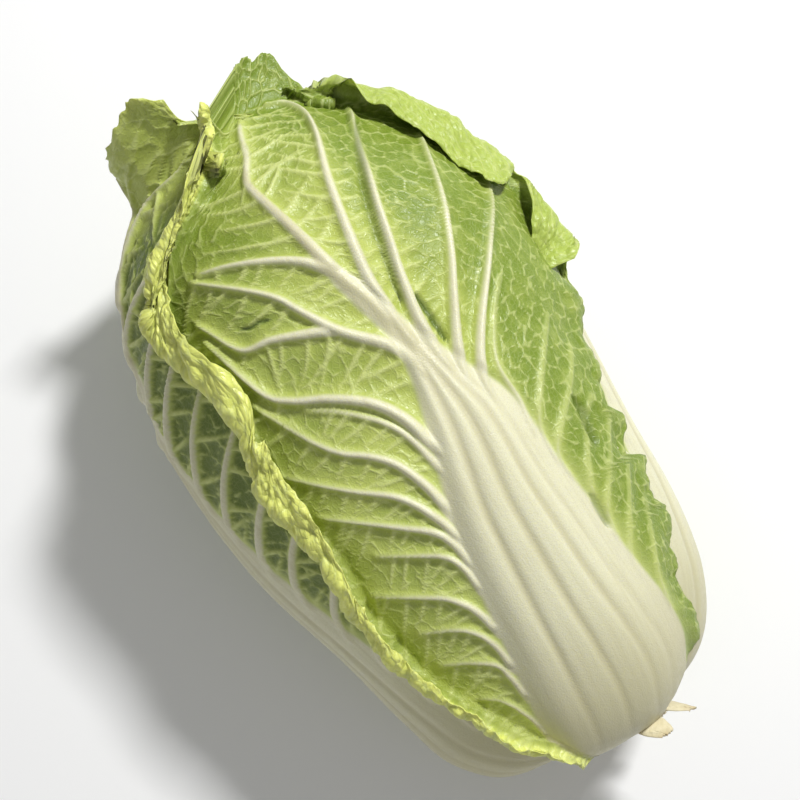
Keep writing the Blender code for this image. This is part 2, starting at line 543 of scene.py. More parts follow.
@dataclass
class Relief:
    """How far each vertex is raised, how far of that is the rib's mound, and the fields that colour it."""

    height: Array
    mound: Array
    fields: dict[str, Array]


# ---- Leaves ---------------------------------------------------------------------------------------------


@dataclass
class Chart:
    """A leaf's grid of places, over its surface and across it, and its map back to the head."""

    along: Array
    over: Array
    per_degree: Array
    at_over: Array
    at_across: Array
    margin: Array

    def over_of(self, along: Array) -> Array:
        """Distance over the surface at a distance along the head."""
        return np.interp(along, self.along, self.over)

    def line(self, points: Stations) -> Array:
        """A smooth line through points of (along, across), in (over, across)."""
        path = smooth_path(points)
        return np.stack([self.over_of(path[:, 0]), path[:, 1]], axis=1)


@dataclass
class VeinMap:
    """A coarse grid over a leaf that knows which vein is nearest, and how near."""

    over: Array
    across: Array
    nearest: Array
    owner: Array
    size: float = 1.5
    reach: float = 20.0

    @classmethod
    def of(cls, chart: Chart, paths: list[Array]) -> "VeinMap":
        """Lays the grid out.

        Args:
            chart: the leaf's chart.
            paths: its veins' middles.

        Returns:
            The map.
        """
        over = np.arange(0.0, chart.over[-1] + 20.0, cls.size)
        across = np.arange(chart.at_across.min() - 10.0, chart.at_across.max() + 10.0, cls.size)
        at_over, at_across = np.meshgrid(over, across, indexing="ij")
        nearest, owner = np.full(at_over.shape, 60.0), np.full(at_over.shape, -1)
        for number, path in enumerate(paths):
            box = around(path, at_over, at_across, cls.reach)
            distance = beside(path, at_over[box], at_across[box]).distance
            closer = distance < nearest[box]
            nearest[box] = np.where(closer, distance, nearest[box])
            owner[box] = np.where(closer, number, owner[box])
        return cls(over, across, nearest, owner)

    def meets(self, place: Array, own: int) -> bool:
        """Whether a place lies on a vein other than its own."""
        i = int(np.clip(place[0] / self.size, 0, len(self.over) - 1))
        j = int(np.clip((place[1] - self.across[0]) / self.size, 0, len(self.across) - 1))
        return self.owner[i, j] != own and self.nearest[i, j] < self.size


@dataclass(frozen=True)
class Leaf:
    """One leaf: its place on the head, its outline, folds and veins, and the grid that it is meshed with.

    Attributes:
        left, right: how many degrees from the rib each margin lies.
        lift, lift_reach: how far the leaf stands off the head at its rib, and within how many degrees.
        tip: how much of the way from the widest place to the crown it covers.
        spare: length past that, for a tip that bends outwards.
        tip_cut: length cut off the tip, from its right corner (0) to its left (1).
        left_zone, right_zone: width of the margins, which have columns of their own.
        back_step: how many columns of the front the back takes in one.
        cell_size, pit_depth, pit_share: width and depth of the blisters.
        hollow_shading: how much painted shade darkens the hollows between them.
        margin_reach, margin_depth: width and depth of the margins' lumps.
        lump_size, lump_squash: how wide a lump is, and how much it is drawn out across the leaf.
        popcorn: how strong the lumps are, across the leaf.
        rung_gap, rung_slack, rung_share: the small cross veins' spacing, length and strength.
        ruffle, lobes: height of the margins' waves, and depth of their teeth.
        greening, greening_across, margin_green: how deep the green is.
    """

    name: str
    layer: float
    rib_angle: float
    seed: int
    left: Stations
    right: Stations
    rib: Rib
    veins: tuple[Vein, ...]
    slot: Slot
    fold: Fold | None = None
    lift: Stations = ((0.0, 0.0), (300.0, 0.0))
    lift_reach: float = 32.0
    swells: tuple[Swell, ...] = ()
    tears: tuple[Tear, ...] = ()
    tip_cut: Stations = ((0.0, 0.0), (1.0, 0.0))
    tip: float = 0.985
    spare: float = 0.0
    foot: float = 1.5
    rows: int = 120
    left_columns: int = 20
    middle_columns: int = 70
    right_columns: int = 20
    left_zone: float = 20.0
    right_zone: float = 20.0
    back_step: int = 8
    blade: float = 1.2
    cell_size: float = 6.0
    pit_depth: float = 0.9
    pit_share: Stations = ((0.0, 0.6), (140.0, 0.6), (220.0, 1.0), (300.0, 1.2))
    hollow_shading: Stations = ((0.0, 0.0), (300.0, 0.0))
    margin_reach: float = 24.0
    margin_depth: float = 2.2
    lump_size: float = 5.2
    lump_squash: float = 1.0
    popcorn: Stations = ((-100.0, 0.8), (100.0, 0.8))
    rung_gap: Stations = ((0.0, 4.5), (140.0, 5.5), (200.0, 7.5), (300.0, 7.0))
    rung_slack: float = 1.0
    rung_share: Stations = ((-100.0, 1.0), (100.0, 1.0))
    ruffle: float = 1.6
    lobes: float = 3.0
    margin_green: float = 0.25
    greening_across: Stations = ((-100.0, 0.1), (0.0, 0.0), (100.0, 0.1))
    greening: Stations = ((0.0, 0.25), (120.0, 0.35), (200.0, 0.45), (260.0, 0.7), (300.0, 0.95))

    def build(self, head: Head) -> bpy.types.Object:
        """Makes the leaf's mesh and its fields.

        Args:
            head: the head that it lies on.

        Returns:
            The new object.
        """
        chart = self.chart(head)
        sheet = self.surface(head, chart, chart.at_over, chart.at_across)
        sheet, folded = self.bends(head, chart, sheet)
        return self.mesh(sheet, self.relief(chart, folded), chart)

    # -- chart and sheet --

    def chart(self, head: Head) -> Chart:
        """Lays the grid out: rows evenly over the surface, columns closer together near the margins.

        Args:
            head: the head that it lies on.

        Returns:
            The chart.
        """
        foot = self.layer * head.butt_step + self.foot
        crown = head.length - self.layer * head.crown_step
        end = head.widest + (crown - head.widest) * self.tip
        fine = foot + (end - foot) * (0.5 - 0.5 * np.cos(np.linspace(0.0, math.pi, 4000)))
        run = run_along(np.stack([fine, head.radius(self.layer, fine)], axis=1))
        over = np.linspace(0.0, run[-1] + self.spare, self.rows)
        along = np.interp(over, run, fine) + 1e-3 * np.maximum(over - run[-1], 0.0)
        per_degree = np.radians(1.0) * head.radius(self.layer, along)
        sides = []
        for stations, offset in ((self.left, 5), (self.right, 8)):
            wander = noise(over, over * 0.0 + offset, 18.0, self.seed + offset, 3)
            teeth = np.abs(noise(over, over * 0.0 - offset, 5.0, self.seed + offset + 1, 2))
            sides.append(through(stations, along) * per_degree + self.lobes * (wander + 0.8 * teeth))
        left, right = (side[:, None] for side in sides)
        calm_left, calm_right = (soften(side, np.ones(len(side)), 7)[:, None] for side in sides)
        most = 0.4 * (calm_left + calm_right)
        inner_left = calm_left - np.minimum(self.left_zone, most)
        inner_right = np.minimum(self.right_zone, most) - calm_right
        across = np.concatenate([
            -right + (inner_right + right) * np.linspace(0.0, 1.0, self.right_columns, endpoint=False),
            inner_right + (inner_left - inner_right) * np.linspace(0.0, 1.0, self.middle_columns),
            inner_left + (left - inner_left) * np.linspace(0.0, 1.0, self.left_columns + 1)[1:],
        ], axis=1)
        tip, cut_reach = across[-1], 50.0
        cut = 1.2 + noise(tip, tip * 0.0, 16.0, self.seed + 3, 3)
        cut = self.lobes * (cut + np.abs(noise(tip, tip * 0.0 + 9.0, 5.0, self.seed + 4, 2)))
        cut = cut + through(self.tip_cut, (tip - tip[0]) / (tip[-1] - tip[0]))
        at_over = over[:, None] - ease((over[:, None] - over[-1] + cut_reach) / cut_reach) * cut[None, :]
        margin = np.minimum(np.minimum(across - across[:, :1], across[:, -1:] - across),
                            at_over[-1:] - at_over)
        return Chart(along, over, per_degree, at_over, across, margin)

    def surface(self, head: Head, chart: Chart, over: Array, across: Array) -> Array:
        """Points of the unbent leaf.

        Args:
            head: the head that it lies on.
            chart: its chart.
            over: distances over the surface from the foot.
            across: distances from the rib.

        Returns:
            Points in millimetres.
        """
        along = np.interp(over, chart.over, chart.along)
        turned = across / np.interp(over, chart.over, chart.per_degree)
        radius = head.radius(self.layer, along)
        radius = radius + through(self.lift, along) * np.exp(-((turned / self.lift_reach) ** 2))
        for swell in self.swells:
            away = np.hypot((along - swell.along) / swell.reach, (turned - swell.degrees) / swell.spread)
            radius = radius + swell.height * np.exp(-(away**2))
        return head.place(radius, along, self.rib_angle + turned, self.layer)

    def bends(self, head: Head, chart: Chart, sheet: Array) -> tuple[Array, Array]:
        """Bends the leaf along its fold.

        Args:
            head: the head that it lies on.
            chart: its chart.
            sheet: the unbent points.

        Returns:
            The bent points, and from 0 to 1 how far each place is turned right over.
        """
        folded = np.zeros(chart.at_over.shape)
        if self.fold is None:
            return sheet, folded
        path = smooth_path(self.fold.points)
        degrees = np.interp(path[:, 0], chart.along, chart.per_degree)
        line = np.stack([chart.over_of(path[:, 0]), path[:, 1] * degrees], axis=1)
        near = beside(line, chart.at_over, chart.at_across)
        q = near.signed * self.fold.side
        beyond = q > 0.0
        run = run_along(line)
        place = near.share * run[-1]
        soft_place = soften(place, beyond.astype(float), 4)
        place = (place + (soft_place - place) * ease(q / 7.0))[beyond]
        q = q[beyond]
        heading = np.gradient(soften(line, np.ones(line.shape), 1), axis=0)
        aside = self.fold.side * np.stack([-heading[:, 1], heading[:, 0]], axis=-1)
        over, across, turn, tight, *away = (np.interp(place, run, values) for values in (
            line[:, 0], line[:, 1], path[:, 2], path[:, 3], aside[:, 0], aside[:, 1]))
        away = unit(np.stack(away, axis=-1))
        here = self.surface(head, chart, over, across)
        step = 0.4
        forwards = (self.surface(head, chart, over + step, across) - here) / step
        sideways = (self.surface(head, chart, over, across + step) - here) / step
        out = unit(np.cross(forwards, sideways))
        flat_way = unit(forwards * away[:, :1] + sideways * away[:, 1:])
        settled = ease(turn / 25.0)[:, None]
        ripple = self.fold.ripple
        tight = tight * (1.0 + ripple * noise(place, q * 0.0, 24.0, self.seed + 1, 2))
        turn = turn * (1.0 + 0.6 * ripple * noise(place, q * 0.0, 22.0, self.seed + 2, 2))
        turn = np.radians(np.maximum(turn, 0.0))
        bent = np.minimum(q / tight, turn)
        rest = np.maximum(q - turn * tight, 0.0)
        flat = tight * np.sin(bent) + rest * np.cos(turn)
        lift = tight * (1.0 - np.cos(bent)) + rest * np.sin(turn)
        bent_sheet = sheet.copy()
        turned = here + flat[:, None] * flat_way + lift[:, None] * out
        bent_sheet[beyond] = sheet[beyond] * (1.0 - settled) + turned * settled
        folded[beyond] = ease((np.degrees(bent) - 30.0) / 90.0)
        return bent_sheet, folded

    # -- relief --

    def relief(self, chart: Chart, folded: Array) -> Relief:
        """Heights and colour fields of the rib, the veins and the blistered blade.

        Args:
            chart: the leaf's chart.
            folded: from 0 to 1, how far each place is turned right over.

        Returns:
            The heights and fields.
        """
        over, across, along = chart.at_over, chart.at_across, chart.along[:, None]
        rib = self.rib.relief(along, across)
        veins = self.vein_relief(chart, rib.white, 1.0 - folded)
        white = veins.white * (1.0 - 0.8 * folded)
        blade = 1.0 - ease((rib.soft - 0.2) / 0.6)
        calm = np.maximum(blade * (1.0 - ease((white - 0.35) / 0.25)), folded)
        close = np.maximum(1.0 - ease(chart.margin / self.margin_reach), folded)
        lumpy = close * through(self.popcorn, across)
        warp = [2.0 * noise(over, across, 13.0, self.seed + k, 2) for k in (21, 22)]
        wall, which = cells(over + warp[0], across + warp[1], self.cell_size, self.seed + 23)
        wall = wall * self.cell_size
        bubble, lump = self.lumps(chart, warp)
        rung = self.rungs(chart) + 5.0 * (1.0 - through(self.rung_share, across))
        clear = np.maximum(veins.clear, 0.0)
        line = np.minimum(np.maximum(rung, 0.0), clear)
        pit = 0.5 * ease(line / 2.4) + 0.5 * ease(np.minimum(line, wall * 0.75 + 0.5) / 2.0)
        shallow = self.pit_depth * through(self.pit_share, along) * (0.75 + 0.5 * which)
        sunk = 1.0 - bubble + (2.0 * bubble - 1.0) * folded
        hollow = (shallow * pit * (1.0 - lumpy) + self.margin_depth * sunk * lumpy) * calm
        wave_size, hill_size, hill_height, rung_height, rung_half = 13.0, 38.0, 1.3, 0.35, 1.1
        waves = noise(over, across, wave_size, self.seed + 31, 2) * self.ruffle * close
        waves = waves + noise(over, across, hill_size, self.seed + 32, 2) * hill_height * blade
        torn, gash = self.torn(chart)
        height = np.maximum(rib.mound, 0.0) + np.maximum(veins.ridge - 0.8 * rib.mound, 0.0)
        height = height + veins.skirt * blade - hollow + waves * (1.0 - 0.6 * white)
        height = height + rung_height * np.exp(-((rung / rung_half) ** 2)) * calm * (1.0 - close) - gash
        green = through(self.greening, along) + through(self.greening_across, across)
        green = green + self.margin_green * close + 0.16 * noise(over, across, 30.0, self.seed + 33, 2)
        green = green + 0.12 * ease(line / 3.0) - 0.35 * np.exp(-clear / 5.0)
        # The creases between the margin's lumps are painted darker, as painted shade, and the pit field makes
        # the lump tops paler, as painted light.
        shade_between_lumps = 0.3 * (1.0 - bubble) ** 2 * lumpy
        fields = {
            "rib": white, "soft_rib": rib.soft, "groove": rib.groove, "frill": folded, "lumpy": lumpy,
            "torn": torn, "green": np.clip(green, 0.0, 1.0), "tint": which * 0.6 + lump * 0.4,
            "pit": pit * (1.0 - lumpy) + (0.8 - 0.6 * bubble) * lumpy,
            "hollow_shade": (through(self.hollow_shading, along) * pit * (1.0 - lumpy) + shade_between_lumps) * calm,
            "rung": (1.0 - np.clip(rung / 3.0, 0.0, 1.0)) * calm,
            "net": (1.0 - np.clip(wall / 3.0, 0.0, 1.0)) * calm,
        }
        return Relief(height, rib.mound, fields)

    def vein_relief(self, chart: Chart, white: Array, flat: Array) -> VeinRelief:
        """Relief of the large veins.

        Args:
            chart: the leaf's chart.
            white: how white the rib makes each place.
            flat: from 0 to 1, how far each place is not folded over.

        Returns:
            What the veins do to each place, with the rib's white in theirs.
        """
        over, across = chart.at_over, chart.at_across
        ridge, skirt, white = np.zeros(across.shape), np.zeros(across.shape), white.copy()
        clear = np.full(across.shape, 40.0)
        for vein in self.veins:
            path = chart.line(vein.points)
            box = around(path, over, across, 24.0)
            near = beside(path, over[box], across[box])
            wide = vein.tip + (vein.foot - vein.tip) * (1.0 - near.share) ** 1.5
            tall = 1.0 - 0.55 * near.share
            start, end = ease(near.share / 0.08), ease((1.0 - near.share) / 0.05)
            body = vein.height * tall * ease(1.0 - near.distance / (1.7 * wide))
            ridge[box] = np.maximum(ridge[box], body * (0.3 + 0.7 * start))
            spread = 0.75 * vein.height * tall * np.exp(-((near.distance / (4.0 + wide)) ** 2))
            trough = np.exp(-(((near.signed - wide - 1.6) / (1.3 + 0.5 * wide)) ** 2))
            skirt[box] = np.maximum(skirt[box], spread * start) - vein.trough * tall * start * end * trough
            shown = np.clip(0.5 + (wide - near.distance) / 3.0, 0.0, 1.0) * (1.0 - 0.3 * near.share)
            white[box] = np.maximum(white[box], shown * vein.white * (0.25 + 0.75 * end))
            clear[box] = np.minimum(clear[box], near.distance - 0.6 * wide)
        return VeinRelief(ridge * flat, skirt * flat, white, clear)

    def lumps(self, chart: Chart, warp: list[Array]) -> tuple[Array, Array]:
        """The rounded lumps of a curly margin, small ones on large ones.

        Args:
            chart: the leaf's chart.
            warp: how far the large ones are pushed out of line, both ways.

        Returns:
            From 0 to 1, how high each place stands on its lumps, and a random number for each small one.
        """
        squashed = chart.at_across * self.lump_squash
        large, _ = cells(chart.at_over + warp[1], squashed - warp[0], self.lump_size * 2.2, self.seed + 25)
        small, which = cells(chart.at_over, squashed, self.lump_size, self.seed + 24)
        large, small = np.clip(large / 0.55, 0.0, 1.0), np.clip(small / 0.5, 0.0, 1.0)
        return 0.68 * np.sqrt(large * (2.0 - large)) + 0.32 * np.sqrt(small * (2.0 - small)), which

    def torn(self, chart: Chart) -> tuple[Array, Array]:
        """The leaf's tears.

        Args:
            chart: the leaf's chart.

        Returns:
            How much painted shade they put in each place, and how deep.
        """
        gap_shade, deep = np.zeros(chart.at_over.shape), np.zeros(chart.at_over.shape)
        for tear in self.tears:
            near = beside(chart.line(tear.points), chart.at_over, chart.at_across)
            pointed = np.sqrt(np.clip(4.2 * near.share * (1.0 - near.share) + 0.05, 0.0, 1.0))
            inside = ease(1.3 - 0.8 * near.distance / (tear.half_width * pointed))
            gap_shade = np.maximum(gap_shade, tear.gap_shade * inside)
            deep = deep + tear.depth * inside
        return gap_shade, deep

    def rungs(self, chart: Chart) -> Array:
        """The small veins that cross the blade between the large ones.

        Args:
            chart: the leaf's chart.

        Returns:
            How far each place is from the nearest of them, a little more where they thin out.
        """
        rng = np.random.default_rng(self.seed)
        paths = [chart.line(vein.points) for vein in self.veins]
        grown = VeinMap.of(chart, paths)
        found = np.full(chart.at_over.shape, 9.0)
        ahead, clear_end, both_sides = 2.0, 2.0, 2
        for number, path in enumerate(paths):
            run = run_along(path)
            gap = through(self.rung_gap, np.interp(path[:, 0], chart.over, chart.along))
            outer = math.copysign(1.0, path[-1, 1] - path[0, 1])
            for side in (1.0, -1.0) if number < both_sides else (outer,):
                here = rng.uniform(2.0, 6.0)
                while here < run[-1] - clear_end:
                    at, beyond = (np.array([np.interp(place, run, path[:, k]) for k in (0, 1)])
                                  for place in (here, here + ahead))
                    heading = math.atan2(*(beyond - at)[::-1])
                    heading += side * math.radians(rng.uniform(58.0, 78.0))
                    own = self.rung(rng, at, heading, side, number, grown)
                    box = around(own, chart.at_over, chart.at_across, 3.5)
                    if len(own) > 2 and box.any():
                        near = beside(own, chart.at_over[box], chart.at_across[box])
                        found[box] = np.minimum(found[box], near.distance + 0.9 * near.share**2)
                    here += float(np.interp(here, run, gap)) * rng.uniform(0.7, 1.6)
        return found

    def rung(self, rng: np.random.Generator, start: Array, heading: float, side: float, number: int,
             grown: VeinMap) -> Array:
        """One small vein, which wanders until it meets a large one.

        Args:
            rng: where its chance comes from.
            start: its foot.
            heading: which way it sets off, in radians.
            side: 1 to the left of its large vein, -1 to the right.
            number: the large vein that it grows from.
            grown: the large veins.

        Returns:
            Its points.
        """
        reach = rng.uniform(14.0, 32.0) * self.rung_slack
        bow = -side * rng.uniform(-0.01, 0.02) * grown.size
        own = [start]
        while len(own) * grown.size < reach:
            own.append(own[-1] + grown.size * np.array([math.cos(heading), math.sin(heading)]))
            heading += bow + rng.uniform(-0.06, 0.06)
            if len(own) > 3 and grown.meets(own[-1], number):
                break
        return np.array(own)

    # -- mesh --

    def mesh(self, sheet: Array, relief: Relief, chart: Chart) -> bpy.types.Object:
        """Joins a fine front and a coarser back into one closed mesh with its fields.

        Args:
            sheet: the smooth sheet.
            relief: what is raised on it.
            chart: its chart.

        Returns:
            The new object.
        """
        front, back, keep = self.faces(sheet, relief, chart)
        rows, columns = front.shape[:2]
        f = np.arange(rows * columns).reshape(rows, columns)
        b = rows * columns + np.arange(rows * len(keep)).reshape(rows, len(keep))
        quads = np.vstack([
            np.stack([f[:-1, :-1], f[1:, :-1], f[1:, 1:], f[:-1, 1:]], axis=-1).reshape(-1, 4),
            np.stack([b[:-1, :-1], b[:-1, 1:], b[1:, 1:], b[1:, :-1]], axis=-1).reshape(-1, 4),
            np.stack([f[:-1, 0], b[:-1, 0], b[1:, 0], f[1:, 0]], axis=-1),
            np.stack([f[:-1, -1], f[1:, -1], b[1:, -1], b[:-1, -1]], axis=-1),
        ])
        ends = []
        for i, (left, right) in enumerate(zip(keep, keep[1:])):
            edge = list(range(left, right + 1))
            ends.append([*f[0, edge], b[0, i + 1], b[0, i]])
            ends.append([*f[-1, edge[::-1]], b[-1, i], b[-1, i + 1]])
        points = np.vstack([front.reshape(-1, 3), back[:, keep].reshape(-1, 3)])
        leaf = new_object(self.name, points, quads, ends)
        for key, values in relief.fields.items():
            values = np.broadcast_to(values, sheet.shape[:2])
            both = np.concatenate([values.ravel(), values[:, keep].ravel()])
            made = leaf.data.attributes.new(key, "FLOAT", "POINT")
            made.data.foreach_set("value", both.astype(np.float32))
        at = np.stack([chart.at_over, chart.at_across, np.full(sheet.shape[:2], float(self.seed))], axis=-1)
        at = np.vstack([at.reshape(-1, 3), at[:, keep].reshape(-1, 3)])
        made = leaf.data.attributes.new("leaf_at", "FLOAT_VECTOR", "POINT")
        made.data.foreach_set("vector", at.astype(np.float32).ravel())
        return leaf

    def faces(self, sheet: Array, relief: Relief, chart: Chart) -> tuple[Array, Array, list[int]]:
        """The leaf's two faces, kept apart everywhere and above the floor.

        Args:
            sheet: the smooth sheet.
            relief: what is raised on it.
            chart: its chart.

        Returns:
            The front's points, the back's, and the columns that the back keeps.
        """
        thick = self.blade * (0.4 + 0.6 * ease(chart.margin / 3.0)) + 3.0 * ease(relief.mound / 4.0)
        first, last = self.right_columns, self.right_columns + self.middle_columns
        under = relief.height * 0.92
        lowest = under.copy()
        for shift in range(1, self.back_step + 1):
            lowest[:, :-shift] = np.minimum(lowest[:, :-shift], under[:, shift:])
            lowest[:, shift:] = np.minimum(lowest[:, shift:], under[:, :-shift])
        under[:, first:last] = lowest[:, first:last]
        out = outward(sheet)
        front = sheet + out * relief.height[..., None]
        back = sheet + out * (under - thick)[..., None]
        front[..., 2] = np.maximum(front[..., 2], 0.0)
        back[..., 2] = np.maximum(back[..., 2], 0.25)
        keep = [*range(first), *range(first, last - 1, self.back_step), *range(last - 1, sheet.shape[1])]
        return front, back, keep


# ---- Finishes -------------------------------------------------------------------------------------------


class Nodes:
    """Builds a material's nodes in few words."""

    def __init__(self, name: str) -> None:
        """Starts a material with a Principled surface."""
        self.material = bpy.data.materials.new(name)
        self.material.use_nodes = True
        self.tree = self.material.node_tree
        self.surface = self.tree.nodes["Principled BSDF"]

    def put(self, value: Value, socket: Socket) -> None:
        """Links a socket to another, or sets its value.

        Args:
            value: a socket or a value.
            socket: where it goes.
        """
        if isinstance(value, Socket):
            self.tree.links.new(value, socket)
        else:
            socket.default_value = value

    def add(self, kind: str, *values: Value, **named: Value | str) -> bpy.types.Node:
        """Adds a node and sets it up.

        Args:
            kind: the node's type name without ShaderNode.
            values: what goes into its first sockets.
            named: its properties, and other sockets by name with _ for a space.

        Returns:
            The node.
        """
        node = self.tree.nodes.new("ShaderNode" + kind)
        for key in [key for key in named if hasattr(node, key)]:
            setattr(node, key, named.pop(key))
        for key, value in [*enumerate(values), *named.items()]:
            self.put(value, node.inputs[key if isinstance(key, int) else key.replace("_", " ")])
        return node

    def math(self, operation: str, first: Value, *others: Value, kind: str = "Math") -> Socket:
        """One operation carried out on two values or more, from left to right.

        Args:
            operation: its name.
            first: the first value.
            others: the other values.
            kind: Math, or VectorMath for vectors.

        Returns:
            The result.
        """
        for other in others:
            first = self.add(kind, first, other, operation=operation).outputs[0]
        return first

    def times(self, *values: Value) -> Socket:
        """A product of numbers."""
        return self.math("MULTIPLY", *values)

    def attribute(self, name: str, output: str = "Fac") -> Socket:
        """Something stored on the mesh."""
        return self.add("Attribute", attribute_name=name).outputs[output]

    def noise(self, at: Value, scale: float, detail: float, output: str = "Fac") -> Socket:
        """A cloudy pattern."""
        return self.add("TexNoise", Vector=at, Scale=scale, Detail=detail).outputs[output]

    def span(self, value: Value, low: float, high: float, to_low: float = 0.0,
             to_high: float = 1.0) -> Socket:
        """Carries a number from one span to another, with soft ends."""
        node = self.add("MapRange", value, low, high, to_low, to_high, interpolation_type="SMOOTHSTEP")
        return node.outputs[0]

    def mix(self, share: Value, first: Value, second: Value) -> Socket:
        """A mix of two colours.

        Args:
            share: how much of the second.
            first: the first colour.
            second: the second.

        Returns:
            The mix.
        """
        node = self.add("Mix", share, data_type="RGBA")
        self.put(first, node.inputs[6])
        self.put(second, node.inputs[7])
        return node.outputs[2]

    def dress(self, base: Value, roughness: Value, height: Value, bump: float, depth: float) -> None:
        """Sets the surface's colour, roughness and bump.

        Args:
            base: its colour.
            roughness: its roughness.
            height: the bump's height.
            bump: its strength.
            depth: what a height of 1 stands for, in metres.
        """
        self.put(base, self.surface.inputs["Base Color"])
        self.put(roughness, self.surface.inputs["Roughness"])
        raised = self.add("Bump", Strength=bump, Distance=depth, Height=height)
        self.put(raised.outputs[0], self.surface.inputs["Normal"])


def colour(red: float, green: float, blue: float) -> Colour:
    """A linear colour from sRGB values of 0 to 255."""
    def linear(v: float) -> float:
        v /= 255.0
        return v / 12.92 if v <= 0.04045 else ((v + 0.055) / 1.055) ** 2.4
    return (linear(red), linear(green), linear(blue), 1.0)


@dataclass(frozen=True)
class LeafFinish:
    """A crisp fresh leaf: green blisters between pale veins, and a wet-looking off-white rib, with painted
    shade in its hollows, creases and tears.
    """

    name: str
    light: Colour
    deep: Colour
    pale: Colour
    edge: Colour
    flap: Colour
    # The colour of painted shade in hollows, creases between lumps and tears.
    shade: Colour
    rib: Colour
    # The darker rib colour, for its streaks and grain and for painted shade in its grooves and towards its
    # foot.
    rib_streak_and_shade: Colour
    roughness: float = 0.42

    def make(self) -> bpy.types.Material:
        """Builds the material."""
        n = Nodes(self.name)
        at = n.attribute("leaf_at", "Vector")
        of = {key: n.attribute(key) for key in ("rib", "soft_rib", "groove", "rung", "net", "pit", "hollow_shade",
                                                "tint", "green", "frill", "lumpy", "torn")}
        wander = n.math("MULTIPLY", n.noise(at, 0.35, 2.0, "Color"), (1.6, 1.6, 0.0), kind="VectorMath")
        warped = n.math("ADD", at, wander, kind="VectorMath")
        for key, feature, scale in (("fine", "DISTANCE_TO_EDGE", 0.5), ("lump", "F1", 0.3)):
            of[key] = n.add("TexVoronoi", feature=feature, Vector=warped, Scale=scale).outputs["Distance"]
        of["line"] = n.math("MAXIMUM", n.span(of["rung"], 0.5, 0.95), n.span(of["net"], 0.6, 0.97, 0.0, 0.7))
        base = n.mix(n.span(of["rib"], 0.28, 0.72), self.blade(n, at, of), self.white(n, at, of))
        # Painted shade inside the tears and sharp creases.
        base = n.mix(n.times(of["torn"], 0.85), base, self.shade)
        crisp = n.noise(at, 0.55, 3.0)
        lines = n.times(n.span(of["fine"], 0.16, 0.0), n.span(of["rib"], 0.6, 0.2), 0.25)
        speck = n.times(n.noise(at, 1.7, 2.0), n.span(of["rib"], 0.3, 0.8, 0.15, 0.6))
        height = n.math("ADD", lines, n.times(crisp, 0.3), speck, n.times(of["line"], 0.9))
        curled = n.times(n.span(of["frill"], 0.2, 0.8), n.span(of["lumpy"], 0.2, 0.9, 0.25, 1.0))
        height = n.math("SUBTRACT", height, n.times(of["lump"], curled, 9.0))
        roughness = n.span(crisp, 0.3, 0.7, self.roughness - 0.08, self.roughness + 0.1)
        n.dress(base, roughness, height, bump=0.4, depth=0.0007)
        n.surface.inputs["Subsurface Weight"].default_value = 0.2
        n.surface.inputs["Subsurface Radius"].default_value = (1.0, 0.9, 0.35)
        n.surface.inputs["Subsurface Scale"].default_value = 0.0015
        n.surface.inputs["Specular IOR Level"].default_value = 0.42
        return n.material

    def blade(self, n: Nodes, at: Socket, of: dict[str, Socket]) -> Socket:
        """The green of the blade and its folded margins, with the small pale veins.

        Args:
            n: the material's nodes.
            at: places on the leaf.
            of: the leaf's fields.

        Returns:
            The colour.
        """
        green = n.mix(n.span(of["green"], 0.1, 0.95), self.light, self.deep)
        green = n.mix(n.span(of["tint"], 0.15, 0.9, 0.0, 0.18), green, self.deep)
        green = n.mix(n.span(n.noise(at, 0.16, 3.0), 0.4, 0.75, 0.0, 0.3), green, self.light)
        # Paler on the small veins, their own colour, and on the tops of the margin's lumps, painted light.
        green = n.mix(n.span(of["pit"], 0.75, 0.05, 0.0, 0.38), green, self.pale)
        # Painted shade in the blisters' hollows, with some of their own deeper green, and in the creases
        # between the margin's lumps.
        green = n.mix(n.span(of["hollow_shade"], 0.1, 0.9, 0.0, 0.85), green, self.shade)
        turned = n.mix(n.span(of["lumpy"], 0.6, 0.95), self.flap, self.edge)
        # The creases between the margin's small lumps are painted darker: painted shade.
        turned = n.mix(n.times(n.span(of["lump"], 0.45, 0.9, 0.0, 0.28), of["lumpy"]), turned, self.deep)
        green = n.mix(n.span(of["frill"], 0.2, 0.9, 0.0, 0.8), green, turned)
        green = n.mix(n.span(of["fine"], 0.11, 0.0, 0.0, 0.12), green, self.pale)
        green = n.mix(n.times(of["line"], 0.72), green, self.pale)
        return n.mix(n.span(of["soft_rib"], 0.0, 1.0, 0.0, 0.55), green, self.pale)

    def white(self, n: Nodes, at: Socket, of: dict[str, Socket]) -> Socket:
        """The off-white of the rib: streaked and grainy, darker in its grooves, partly its own greener tone
        and partly painted shade, and darker towards its foot, painted shade where it curves down away from the
        light.

        Args:
            n: the material's nodes.
            at: places on the leaf.
            of: the leaf's fields.

        Returns:
            The colour.
        """
        streak = n.noise(n.math("MULTIPLY", at, (0.06, 1.0, 1.0), kind="VectorMath"), 0.6, 3.0)
        place = n.add("SeparateXYZ", at)
        white = self.rib
        # Streaks and grain are the rib's own tone; the grooves are partly its own greener tone and partly
        # painted shade; the darkening towards the foot is painted shade.
        for share in (
            n.span(streak, 0.4, 0.8, 0.0, 0.35), n.span(of["groove"], 0.2, 1.0, 0.0, 0.6),
            n.span(n.noise(at, 2.6, 1.0), 0.45, 0.75, 0.0, 0.4),
            n.span(place.outputs[0], 90.0, 10.0, 0.0, 0.75),
        ):
            white = n.mix(share, white, self.rib_streak_and_shade)
        return white


